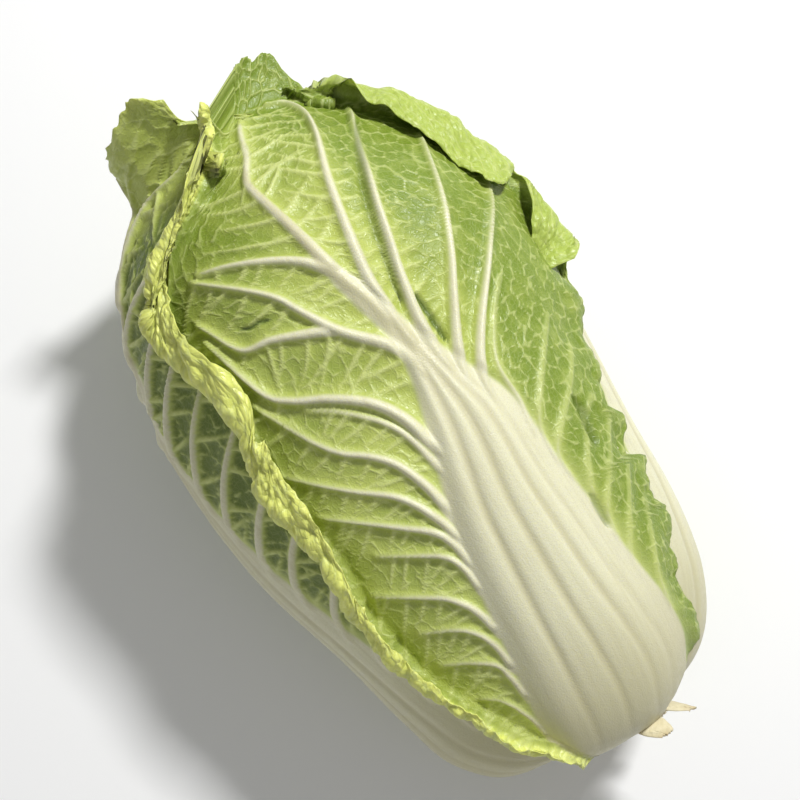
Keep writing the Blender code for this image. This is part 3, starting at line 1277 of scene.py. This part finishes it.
@dataclass(frozen=True)
class StemFinish:
    """Cut stem: cream and slightly dried, with browned patches."""

    name: str
    cream: Colour
    browned: Colour

    def make(self) -> bpy.types.Material:
        """Builds the material."""
        n = Nodes(self.name)
        at = n.add("TexCoord").outputs["Object"]
        mottle, grain = n.noise(at, 120.0, 4.0), n.noise(at, 700.0, 2.0)
        base = n.mix(n.span(mottle, 0.45, 0.75, 0.0, 0.6), self.cream, self.browned)
        n.dress(base, 0.62, n.math("ADD", mottle, grain), bump=0.5, depth=0.0006)
        return n.material


OUTER_FINISH = LeafFinish(
    name="outer_leaf_finish",
    light=colour(184, 195, 100), deep=colour(118, 140, 42), pale=colour(202, 210, 136),
    edge=colour(240, 244, 130), flap=colour(180, 198, 92), shade=colour(84, 104, 38),
    rib=colour(222, 220, 189), rib_streak_and_shade=colour(192, 186, 147),
)
INNER_FINISH = LeafFinish(
    name="inner_leaf_finish",
    light=colour(206, 214, 128), deep=colour(166, 184, 76), pale=colour(224, 226, 176),
    edge=colour(206, 212, 110), flap=colour(190, 204, 100), shade=colour(120, 136, 60),
    rib=colour(230, 228, 204), rib_streak_and_shade=colour(214, 210, 176),
)
HEART_FINISH = LeafFinish(
    name="heart_leaf_finish",
    light=colour(232, 224, 150), deep=colour(214, 206, 112), pale=colour(236, 232, 190),
    edge=colour(228, 220, 128), flap=colour(228, 220, 128), shade=colour(190, 180, 90),
    rib=colour(234, 232, 212), rib_streak_and_shade=colour(224, 220, 190),
)
STEM_FINISH = StemFinish("cut_stem_finish", cream=colour(222, 212, 176), browned=colour(182, 154, 102))


# ---- The leaves, with their stations in millimetres along and across each one ---------------------------


FRONT_RIB = Rib(
    middle=((0, -4), (23, -6.5), (40, -5.4), (60, -4.7), (83, -5.2), (100, -5.8), (132, -9),
            (150, -7), (165, -4), (187, 3), (202, 8), (224, 10)),
    half_width=((0, 32), (12, 35), (23, 36.5), (38, 34.5), (58, 30.5), (83, 27), (100, 24), (120, 20.5),
                (134, 17), (150, 10.5), (164, 6), (187, 4), (210, 2.6)),
    height=((0, 3.0), (30, 5.0), (100, 5.4), (130, 4.6), (150, 3.4), (168, 2.2), (192, 1.2), (208, 0)),
)

FRONT_VEINS = (
    Vein(((168, -3), (187, 2), (202, 7.5), (224, 10.5), (241, 12), (248, 11.5), (253, 8.2), (259, 4),
          (266, 1), (272, -2), (278, -6)), 3.4, 1.3, 2.2),
    Vein(((155, -5), (187, -2), (207, -4), (233, -12), (257, -24), (270, -29), (279, -28), (282, -20)),
          2.8, 1.0, 2.4, 0.5),
    Vein(((142, -12), (163, -10), (183, -12), (198, -15), (217, -21), (240, -32), (264, -48)), 2.8, 0.9,
          2.4, 0.9),
    Vein(((134, -15), (151, -16), (171, -26), (185, -34), (201, -42), (223, -53), (240, -65)), 2.4, 0.8,
          2.2, 0.6),
    Vein(((128, -18), (144, -21), (157, -29), (173, -43), (201, -69), (216, -79)), 2.2, 0.8, 2.1, 0.6),
    Vein(((192, 3), (202, 9), (212, 18), (223, 36), (229, 50)), 2.7, 1.0, 2.0, 0.5),
    Vein(((146, -2), (164, 1), (181, 16), (195, 25), (206, 32), (228, 54)), 2.9, 1.0, 2.4, 0.5),
    Vein(((182, 17), (187, 28), (192, 40), (196, 53), (214, 64)), 2.0, 0.9, 1.7, 0.4),
    Vein(((116, 4), (132, 9), (144, 13), (154, 20), (163, 32), (170, 45), (179, 54), (206, 65)), 2.9,
          1.1, 2.4, 0.5),
    Vein(((104, 9), (116, 10), (140, 16), (156, 30), (164, 42)), 2.2, 0.8, 1.6, 0.3),
    Vein(((104, 16), (117, 18), (130, 23), (138, 30), (145, 39), (155, 47), (176, 60)), 2.2, 0.8, 1.8, 0.4),
    Vein(((94, 18), (106, 21), (120, 29), (132, 44), (150, 66)), 2.0, 0.7, 1.6, 0.3),
    Vein(((84, 20), (95, 21), (103, 25), (111, 35), (120, 47), (130, 61)), 2.0, 0.7, 1.6, 0.3),
    Vein(((76, 22), (87, 23), (94, 27), (100, 37), (107, 50)), 1.8, 0.6, 1.5, 0.3),
    Vein(((60, 25), (72, 28), (80, 34), (84, 40), (96, 62)), 1.8, 0.6, 1.5, 0.3),
    Vein(((46, 28), (57, 29), (65, 33), (70, 40), (75, 53)), 1.7, 0.6, 1.4, 0.3),
    Vein(((34, 29), (45, 31), (51, 33), (57, 43), (61, 53)), 1.6, 0.6, 1.3, 0.2),
    Vein(((16, 29), (27, 32), (38, 39), (44, 50)), 1.5, 0.5, 1.1, 0.2),
    Vein(((112, -25), (127, -28), (144, -28), (160, -38), (172, -50)), 1.5, 0.5, 1.1, 0.2, 0.8),
    Vein(((100, -28), (117, -30), (128, -38), (140, -50), (152, -64)), 1.2, 0.4, 0.9, 0.2, 0.65),
    Vein(((92, -30), (108, -32), (126, -55), (138, -68)), 1.2, 0.4, 0.8, 0.2, 0.65),
    Vein(((74, -32), (89, -35), (105, -46), (118, -62)), 1.2, 0.4, 0.8, 0.2, 0.65),
    Vein(((64, -33), (80, -37), (97, -55), (108, -66)), 1.1, 0.4, 0.7, 0.1, 0.65),
    Vein(((46, -34), (62, -36), (81, -53), (94, -66)), 1.1, 0.4, 0.7, 0.1, 0.65),
    Vein(((32, -40), (48, -42), (62, -50), (74, -60)), 1.0, 0.4, 0.6, 0.1, 0.65),
)

LEFT_CROWN_VEINS = (
    Vein(((215, -6), (235, -16), (244, -40), (244, -60), (254, -63), (256, -72), (252, -84)), 2.4, 1.0,
          1.8, 0.4),
    Vein(((247, -44), (243, -52), (239, -71), (235, -86)), 1.8, 0.8, 1.4, 0.3),
    Vein(((246, -6), (262, -14), (276, -26), (277, -44), (281, -52)), 2.0, 0.9, 1.6, 0.3),
)


FRONT_TEARS = (
    Tear(((180, -14.2), (170, -15.3), (159, -15.7)), 1.3, 2.0),
    Tear(((257, -45), (244, -34), (224, -21), (208, -14.8), (190, -10.4), (179, -8.7)), 1.8, 1.6, 0.6),
    Tear(((202.5, 50), (200, 44.5), (200, 41), (198, 35.5)), 0.8, 1.0),
    Tear(((120, -51.5), (113, -53), (106, -50), (100, -50)), 2.4, 2.0, 0.7),
    Tear(((86, -33.5), (79, -33.2), (72, -32.5)), 1.7, 1.4, 0.55),
)


SIDE_GRID = dict(rows=240, left_columns=24, middle_columns=96, right_columns=44, left_zone=26.0,
                 right_zone=44.0, back_step=3, lobes=2.8)


def front_leaf() -> Leaf:
    """The large leaf that lies on top, with its left margin folded right back."""
    return Leaf(
        name="outer_leaf_front_looks", layer=0.0, rib_angle=87.0, seed=3, slot=Slot.OUTER,
        left=((0, 36), (14, 42), (24, 49), (43, 57), (55, 61), (67, 63), (80, 62), (92, 64), (106, 59),
              (118, 59), (128, 61), (139, 64), (150, 68), (160, 62), (170, 57), (187, 57), (200, 64),
              (212, 73), (220, 80), (230, 87), (239, 90), (248, 77), (258, 61), (263, 50), (275, 43),
              (290, 38), (304, 38)),
        right=((0, 42), (21, 58), (30, 54), (40, 49), (50, 56), (60, 57), (66, 62), (70, 55), (80, 54),
               (88, 62), (92, 50), (96, 52), (105, 58), (112, 50), (122, 54), (132, 59), (140, 58),
               (150, 64), (160, 65), (170, 76), (180, 84), (192, 86), (202, 79), (211, 67), (219, 75),
               (231, 84), (246, 84), (262, 82), (285, 80), (304, 80)),
        fold=Fold((
            (2, 25, 100, 3), (14, 29, 150, 3.2), (24, 36, 180, 3.4), (43, 44, 185, 3.6),
            (55, 47.5, 190, 3.8), (67, 50, 190, 3.8), (80, 49, 190, 3.8), (92, 49, 190, 3.8),
            (106, 46, 190, 3.8), (125, 45, 190, 3.8), (139, 46, 190, 3.8), (150, 47, 190, 3.8),
            (160, 45, 190, 3.8), (172, 43, 190, 3.8), (187, 43, 190, 3.8), (200, 46, 190, 4),
            (211, 50, 190, 4.2), (220, 51.5, 190, 4.2), (229, 48.5, 190, 4.2), (236, 42, 190, 4.2),
            (242, 34.5, 190, 4.2), (248, 27, 190, 4.2), (254, 19.5, 180, 4.2), (261, 12.5, 150, 5),
            (269, 6, 100, 6), (276, 0, 58, 7), (281, -9, 50, 8), (281, -22, 50, 8), (277, -35, 60, 8),
            (271, -45, 120, 4), (263, -52, 205, 3.2), (254, -55, 212, 3.2), (241, -57, 212, 3.2),
            (228, -58.5, 212, 3.2), (216, -60, 205, 3.2), (208, -61.5, 205, 3.2), (200, -63, 212, 3.2),
            (191, -65, 212, 3.2), (180, -67, 205, 3.2), (172, -68, 130, 4), (165, -66, 30, 5),
            (155, -62, 0, 6), (120, -62, 0, 6), (88, -64, 0, 7), (48, -56, 0, 7), (2, -40, 0, 7),
        ), ripple=0.14),
        swells=(Swell(254, -56, 2, 20, 16), Swell(157, -66, 4, 12, 12)),
        tears=FRONT_TEARS, tip=0.86, spare=24.0,
        tip_cut=((0, 46), (0.1, 43), (0.15, 34), (0.2, 27), (0.25, 19), (0.3, 14), (0.5, 10), (0.6, 9),
                 (0.66, 12), (0.72, 14), (0.8, 18), (0.86, 24), (0.9, 28), (0.95, 32), (1, 22)),
        popcorn=((-100, 0.55), (-30, 0.4), (-5, 0.5), (12, 1.0), (100, 1.0)), lump_squash=0.75,
        rung_gap=((0, 5.5), (140, 6.5), (200, 8), (300, 8)), rung_slack=1.3,
        rung_share=((-70, 0.55), (-45, 0.6), (-30, 0.8), (-10, 1), (100, 1)),
        rib=FRONT_RIB, veins=FRONT_VEINS, rows=280, left_columns=62, middle_columns=132,
        right_columns=36, left_zone=56.0, right_zone=40.0, back_step=10, margin_depth=3.2, lobes=2.6,
        margin_green=0.1,
        pit_share=((0, 0.5), (130, 0.45), (180, 0.7), (230, 1.0), (300, 1.3)),
        # Deeper, darker green towards the right margin: partly the leaf's own deeper green there, partly
        # painted shade under the folded-over flap.
        greening_across=((-110, 1.0), (-70, 0.85), (-50, 0.7), (-32, 0.32), (-15, 0.0), (0, -0.15),
                         (40, 0.08), (90, 0.08)),
    )


def plain_rib(head: Head, layer: float, stout: float, bow: Stations) -> Rib:
    """A rib that narrows from the foot to the tip.

    Args:
        head: the head that the leaf lies on.
        layer: the leaf's layer.
        stout: makes it wider than usual.
        bow: where its middle runs.

    Returns:
        The rib.
    """
    size = (1.0 - 0.05 * layer) * stout
    rise = max(0.25, 0.85 - 0.06 * layer)
    foot = layer * head.butt_step
    run = (head.length - layer * head.crown_step - foot) / 300.0
    return Rib(
        middle=bow,
        half_width=tuple((foot + a * run, b * size) for a, b in (
            (0, 26), (40, 27), (100, 19), (170, 8), (230, 3), (300, 2))),
        height=tuple((foot + a * run, b * rise) for a, b in (
            (0, 5), (80, 4.5), (150, 3), (210, 1.2), (250, 0), (300, 0))),
        left_edge=0.6, right_edge=0.6,
    )


def plain_veins(rib: Rib, foot: float, tip: float, seed: int, veins: tuple[Vein, ...] = (),
                stout: float = 1.0) -> tuple[Vein, ...]:
    """Veins that leave a rib on both sides, closer together near the foot.

    Args:
        rib: the leaf's rib.
        foot: distance from the butt to the leaf's foot.
        tip: the same to its tip.
        seed: varies them.
        veins: placed veins that stand in for the usual ones on the right past the lowest of them.
        stout: makes them wider than usual.

    Returns:
        The veins, the middle one first.
    """
    rng = np.random.default_rng(seed)
    reach_of = min((v.points[1][0] for v in veins), default=tip)
    middle = [foot + share * (tip - foot) for share in (0.5, 0.7, 0.85, 0.98)]
    middle = tuple((along, float(through(rib.middle, np.array(along)))) for along in middle)
    found = [Vein(middle, 3.2 * stout, 0.8 * stout, 1.6), *veins]
    for side in (-1.0, 1.0):
        here = foot + 24.0 + 6.0 * side
        while here < (tip - 26.0 if side > 0.0 else min(tip - 26.0, reach_of - 14.0)):
            share = (here - foot) / (tip - foot)
            edge = float(through(rib.middle, np.array(here)))
            edge += side * float(through(rib.half_width, np.array(here)))
            reach = 46.0 + 20.0 * rng.random()
            ahead = 24.0 + 14.0 * share + 8.0 * rng.random()
            points = (
                (here - 12.0, edge * 0.9), (here, edge), (here + ahead * 0.45, edge + side * reach * 0.28),
                (here + ahead * 0.8, edge + side * reach * 0.62),
                (here + ahead * 1.15, edge + side * reach),
            )
            found.append(Vein(points, (1.5 + 1.2 * share) * stout, 0.7 * stout, 1.3 + 1.0 * share, 0.3))
            here += 13.0 + 9.0 * share + 3.0 * rng.random()
    return tuple(found)


def plain_leaf(name: str, head: Head, layer: float, angle: float, seed: int, slot: Slot,
               veins: tuple[Vein, ...] = (), stout: float = 1.0, bow: Stations = ((0, 0), (300, 0)),
               **changes) -> Leaf:
    """A leaf with the usual outline, ribs and veins.

    Args:
        name: the piece's name.
        head: the head that it lies on.
        layer: its layer.
        angle: where round the head its rib lies, in degrees.
        seed: varies it.
        slot: its material slot.
        veins: placed veins.
        stout: makes its rib and veins wider than usual.
        bow: where its rib's middle runs.
        changes: fields that differ from the usual ones.

    Returns:
        The leaf.
    """
    foot = layer * head.butt_step
    tip = head.length - layer * head.crown_step
    rib = plain_rib(head, layer, stout, bow)
    wide = tuple((foot + a * (tip - foot), b) for a, b in (
        (0, 60), (0.1, 72), (0.3, 82), (0.7, 82), (0.9, 78), (1, 70)))
    fields = dict(
        name=name, layer=layer, rib_angle=angle, seed=seed, slot=slot, left=wide, right=wide,
        rib=rib, veins=plain_veins(rib, foot, tip, seed, veins, stout),
    )
    fields.update(changes)
    return Leaf(**fields)


def left_leaf(head: Head) -> Leaf:
    """The leaf on the left, whose tip bends right out and shows its lumpy margin.

    Args:
        head: the head that it lies on.

    Returns:
        The leaf.
    """
    fold = Fold((
        (270, -160, 40, 12), (273, -130, 60, 12), (275, -105, 68, 12), (276, -82, 70, 12),
        (276, -60, 70, 12),
        (276, -44, 66, 12), (276, -30, 60, 10), (278, -14, 50, 8), (282, 0, 40, 8), (288, 40, 30, 8),
        (290, 90, 20, 8),
    ), -1.0, 0.2)
    return plain_leaf(
        "outer_leaf_left_looks", head, 1.0, 183.0, 21, Slot.OUTER, LEFT_CROWN_VEINS, stout=1.4,
        bow=((0, 0), (100, -3), (170, -8), (240, -11), (300, -8)), fold=fold, tip=0.92, spare=20.0,
        right=((0, 44), (60, 62), (120, 74), (200, 80), (255, 88), (268, 112), (280, 132), (300, 136)),
        tip_cut=((0, 13), (0.07, 9), (0.14, 5), (0.22, 4), (0.3, 8), (0.42, 13), (0.57, 18), (1, 16)),
        lift=((0, 16), (8, 13), (16, 11), (28, 10.5), (45, 8), (80, 5), (125, 9), (167, 10.5),
              (190, 10.5), (210, 8), (258, 9), (284, 5), (300, 0)),
        # The hollows between its blisters are painted a darker green, partly their own deep green and partly
        # painted shade, less so on the bent-out tip.
        cell_size=8.5, pit_depth=1.8, hollow_shading=((0, 0.8), (255, 0.8), (276, 0.25), (300, 0.1)),
        margin_depth=3.6, rung_gap=((0, 10), (140, 12), (300, 13)), margin_green=0.0,
        # A lighter, yellower green at the bent-out tip: partly its own colour, partly painted light on the
        # lump.
        greening=((0, 0.25), (120, 0.35), (200, 0.45), (250, 0.5), (272, 0.1), (285, -0.3), (300, -0.3)),
        **SIDE_GRID)


@dataclass(frozen=True)
class Lump:
    """A solid made of rings round the head's axis: each ring is (distance from the butt, radius)."""

    name: str
    rings: Stations
    slot: Slot
    seed: int
    around: int = 96
    dent: float = 0.5
    dent_size: float = 9.0
    face_dent: float = 0.0

    def build(self, head: Head) -> bpy.types.Object:
        """Makes the closed mesh, with small dents all over and a slightly hollow first face.

        Args:
            head: the head whose axis it lies on.

        Returns:
            The new object.
        """
        angle = np.arange(self.around) * 360.0 / self.around
        along = np.array([r[0] for r in self.rings])[:, None]
        radius = np.array([r[1] for r in self.rings])[:, None]
        turn = np.radians(angle)[None, :]
        hills = noise(radius * np.cos(turn) + along * 0.6, radius * np.sin(turn) + along,
                      self.dent_size, self.seed, 3)
        wide = np.maximum(radius + self.dent * hills * ease(radius / 6.0), 0.05)
        shift = self.face_dent * hills * (along < along[0] + 1.5)
        points = head.place(wide, along + shift, np.broadcast_to(angle, wide.shape), 0.0)
        count = len(self.rings)
        index = np.arange(count * self.around).reshape(count, self.around)
        ahead = np.roll(index, -1, axis=1)
        faces = np.stack([index[:-1], index[1:], ahead[1:], ahead[:-1]], axis=-1).reshape(-1, 4)
        low, high = points[0].mean(axis=0), points[-1].mean(axis=0)
        caps = [[index.size, b, a] for a, b in zip(ahead[0], index[0])]
        caps += [[index.size + 1, a, b] for a, b in zip(ahead[-1], index[-1])]
        return new_object(self.name, np.vstack([points.reshape(-1, 3), low, high]), faces, caps)


@dataclass(frozen=True)
class Stub:
    """The torn foot of a leaf that was trimmed away: a short curved scale with a ragged edge."""

    name: str
    angle: float
    seed: int
    slot: Slot = Slot.STEM
    half_angle: float = 15.0
    length: float = 15.0
    thickness: float = 2.4
    foot: float = -0.5
    radius: float = 24.0
    grid: int = 40

    def build(self, head: Head) -> bpy.types.Object:
        """Makes the closed mesh.

        Args:
            head: the head whose butt it stands on.

        Returns:
            The new object.
        """
        n = self.grid
        share, side = np.meshgrid(np.linspace(0.0, 1.0, n), np.linspace(1.0, -1.0, n), indexing="ij")
        torn = 1.0 - 0.16 * (1.0 + noise(side * 9.0, side * 0.0, 4.0, self.seed, 3)) * ease(share * 1.2)
        reach = self.half_angle * (1.0 - 0.62 * share**1.6)
        rough = 0.35 * noise(share * self.length, side * 8.0, 4.0, self.seed + 1, 2)
        along = self.foot - self.length * 0.55 * share * torn
        radius = self.radius + self.length * 0.75 * share * torn + rough
        sheet = head.place(radius, along, self.angle + side * reach, 0.0)
        thick = self.thickness * np.sqrt(np.clip(1.02 - side**2, 0.04, 1.0)) * (1.0 - 0.55 * share)
        back = sheet + outward(sheet) * thick[..., None]
        index = np.arange(n * n).reshape(n, n)
        top = np.stack([index[:-1, :-1], index[:-1, 1:], index[1:, 1:], index[1:, :-1]], axis=-1)
        top = top.reshape(-1, 4)
        rim = np.concatenate([index[0, :-1], index[:-1, -1], index[-1, :0:-1], index[:0:-1, 0]])
        ahead = np.roll(rim, -1)
        side_faces = np.stack([rim, rim + n * n, ahead + n * n, ahead], axis=-1)
        return new_object(self.name, np.vstack([sheet.reshape(-1, 3), back.reshape(-1, 3)]),
                          np.vstack([top, top[:, ::-1] + n * n, side_faces]))


@dataclass(frozen=True)
class Cabbage:
    """The whole head: its leaves, stem, bud and stubs."""

    head: Head
    wrappers: int = 6
    inner_leaves: int = 12
    inner_turn: float = 53.0
    stub_angles: tuple[float, ...] = (18.0, 62.0, 318.0)
    stem_length: float = 83.0
    stem_low: float = 20.5
    stem_high: float = 7.0

    def outer_leaves(self) -> list[tuple[Leaf, str]]:
        """The four loose outer leaves, each with the CAD node that it stands for."""
        narrow = ((0, 44), (90, 50), (300, 50))
        right = plain_leaf(
            "outer_leaf_right_looks", self.head, 1.0, 10.0, 31, Slot.OUTER, stout=1.25, **SIDE_GRID,
            lift=((0, 7), (38, 6.6), (56, 5.6), (77, 3.8), (101, 1), (131, 0), (300, 0)))
        under = plain_leaf(
            "outer_leaf_under_looks", self.head, 0.0, 266.0, 41, Slot.OUTER, left=narrow, right=narrow,
            rows=200, middle_columns=110, left_columns=18, right_columns=18)
        return [(front_leaf(), "outer_leaf_front"), (left_leaf(self.head), "outer_leaf_left"),
                (right, "outer_leaf_right"), (under, "outer_leaf_under")]

    def packed_leaves(self) -> list[tuple[Leaf, str]]:
        """The leaves inside, two to a layer, each with its CAD node."""
        fine = dict(rows=100, middle_columns=64, left_columns=12, right_columns=12)
        coarse = dict(rows=64, middle_columns=36, left_columns=8, right_columns=8)
        found = []
        for number in range(self.wrappers + self.inner_leaves):
            layer, opposite = 2 + number // 2, 180.0 * (number % 2)
            inner = number >= self.wrappers
            node = f"inner_leaf_{number - self.wrappers + 1:02d}" if inner else f"wrapper_leaf_{number + 1}"
            seed, slot, grid = (74, Slot.HEART, coarse) if inner else (60, Slot.INNER, fine)
            angle = 90.0 + opposite + (layer - 2) * self.inner_turn
            leaf = plain_leaf(f"{node}_looks", self.head, float(layer), angle, seed + number, slot, **grid)
            found.append((leaf, node))
        return found

    def stem(self) -> Lump:
        """The stem, whose cut face is slightly hollow, narrowing to a round top inside the head."""
        rings = [(0.9, 0.4), (0.7, 6.0), (0.8, 12.0), (0.7, 17.0), (0.9, 19.4), (1.6, 20.3)]
        for share in (0.05, 0.12, 0.2, 0.3, 0.4, 0.5, 0.6, 0.7, 0.8, 0.88, 0.94, 0.985):
            radius = (self.stem_low + (self.stem_high - self.stem_low) * share) * math.sqrt(1 - share**6)
            rings.append((1.0 + (self.stem_length - 1.0) * share, radius))
        return Lump("stem_looks", tuple(rings), Slot.STEM, 5, face_dent=0.5)

    def bud(self) -> Lump:
        """The tight bud in the middle, just inside the last layer of leaves."""
        head, layer = self.head, 11
        foot, crown = layer * head.butt_step + 4.0, head.length - layer * head.crown_step
        tip = head.widest + (crown - head.widest) * 0.968
        along = foot + (tip - foot) * (0.5 - 0.5 * np.cos(np.linspace(0.0, math.pi, 40)))
        rings = tuple(zip(along.tolist(), head.radius(float(layer), along).tolist()))
        return Lump("heart_bud_looks", rings, Slot.HEART, 6, dent=0.9, dent_size=12.0)

    def build(self) -> None:
        """Builds and dresses every piece."""
        finishes = {Slot.OUTER: OUTER_FINISH, Slot.INNER: INNER_FINISH,
                    Slot.HEART: HEART_FINISH, Slot.STEM: STEM_FINISH}
        materials = {slot: finish.make() for slot, finish in finishes.items()}
        pieces = self.outer_leaves() + [(self.stem(), "stem"), (self.bud(), "heart_bud")]
        for number, angle in enumerate(self.stub_angles, start=1):
            pieces.append((Stub(f"leaf_stub_{number}_looks", angle, 6 + number), f"leaf_stub_{number}"))
        pieces += self.packed_leaves()
        for piece, node in pieces:
            made = piece.build(self.head)
            made.data.materials.append(materials[piece.slot])
            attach(made, "root")
            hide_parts(node)
            LOG.info("%s: %d faces", made.name, len(made.data.polygons))


# ---- Studio ---------------------------------------------------------------------------------------------


def direction(azimuth: float, elevation: float) -> Vector:
    """The way towards a place seen from the head, in degrees round from -Y and up."""
    a, e = math.radians(azimuth), math.radians(elevation)
    return Vector((math.sin(a) * math.cos(e), -math.cos(a) * math.cos(e), math.sin(e)))


@dataclass(frozen=True)
class Lamp:
    """A soft square light that faces the head. Its distance and size are in metres, its power in watts."""

    name: str
    azimuth: float
    elevation: float
    away: float
    size: float
    power: float


@dataclass(frozen=True)
class Studio:
    """A pale floor, soft light from the upper right and a camera that looks down on the head."""

    azimuth: float = -31.0
    elevation: float = 80.0
    lens: float = 60.0
    frame_width: float = 0.325
    middle_height: float = 0.078
    shift_right: float = -0.0077
    shift_up: float = 0.0104
    floor_half: float = 6000.0
    sky: float = 0.29
    lamps: tuple[Lamp, ...] = (
        Lamp("key", azimuth=117.0, elevation=54.0, away=1.5, size=0.2, power=21.0),
        Lamp("fill", azimuth=-70.0, elevation=45.0, away=1.8, size=1.2, power=2.6),
    )

    def build(self) -> None:
        """Makes the floor, the lights and the camera."""
        self.floor()
        self.lights()
        self.camera()

    def floor(self) -> None:
        """A wide plain sheet under the head."""
        half = self.floor_half
        corners = np.array([(-half, -half, 0.0), (half, -half, 0.0), (half, half, 0.0), (-half, half, 0.0)])
        floor = new_object("floor", corners, np.array([[0, 1, 2, 3]]))
        n = Nodes("floor_finish")
        n.surface.inputs["Base Color"].default_value = (0.9, 0.9, 0.9, 1.0)
        n.surface.inputs["Roughness"].default_value = 0.9
        floor.data.materials.append(n.material)

    def lights(self) -> None:
        """The lamps and an even sky."""
        scene = bpy.context.scene
        world = bpy.data.worlds.new("studio")
        world.use_nodes = True
        background = world.node_tree.nodes["Background"]
        background.inputs["Color"].default_value = (1.0, 1.0, 1.0, 1.0)
        background.inputs["Strength"].default_value = self.sky
        scene.world = world
        for lamp in self.lamps:
            light = bpy.data.lights.new(lamp.name, "AREA")
            light.size, light.energy = lamp.size, lamp.power
            made = bpy.data.objects.new(lamp.name, light)
            made.location = lamp.away * direction(lamp.azimuth, lamp.elevation)
            made.rotation_mode = "QUATERNION"
            made.rotation_quaternion = made.location.to_track_quat("Z", "Y")
            scene.collection.objects.link(made)
        scene.view_settings.view_transform = "Standard"

    def camera(self) -> None:
        """A camera that takes in the whole head."""
        data = bpy.data.cameras.new("camera")
        data.lens = self.lens
        away = self.frame_width / 2.0 / (data.sensor_width / 2.0 / self.lens)
        back = direction(self.azimuth, self.elevation)
        camera = bpy.data.objects.new("camera", data)
        camera.rotation_mode = "QUATERNION"
        camera.rotation_quaternion = back.to_track_quat("Z", "Y")
        right, up = (camera.rotation_quaternion @ Vector(v) for v in ((1, 0, 0), (0, 1, 0)))
        aim = Vector((0.0, 0.0, self.middle_height)) + right * self.shift_right + up * self.shift_up
        camera.location = aim + back * away
        bpy.context.scene.collection.objects.link(camera)
        bpy.context.scene.camera = camera


def main() -> None:
    """Builds the head and the studio round it."""
    logging.basicConfig(level=logging.INFO, format="%(name)s: %(message)s")
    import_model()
    head = Head.from_frame()
    Cabbage(head).build()
    Studio().build()


if __name__ == "__main__":
    main()
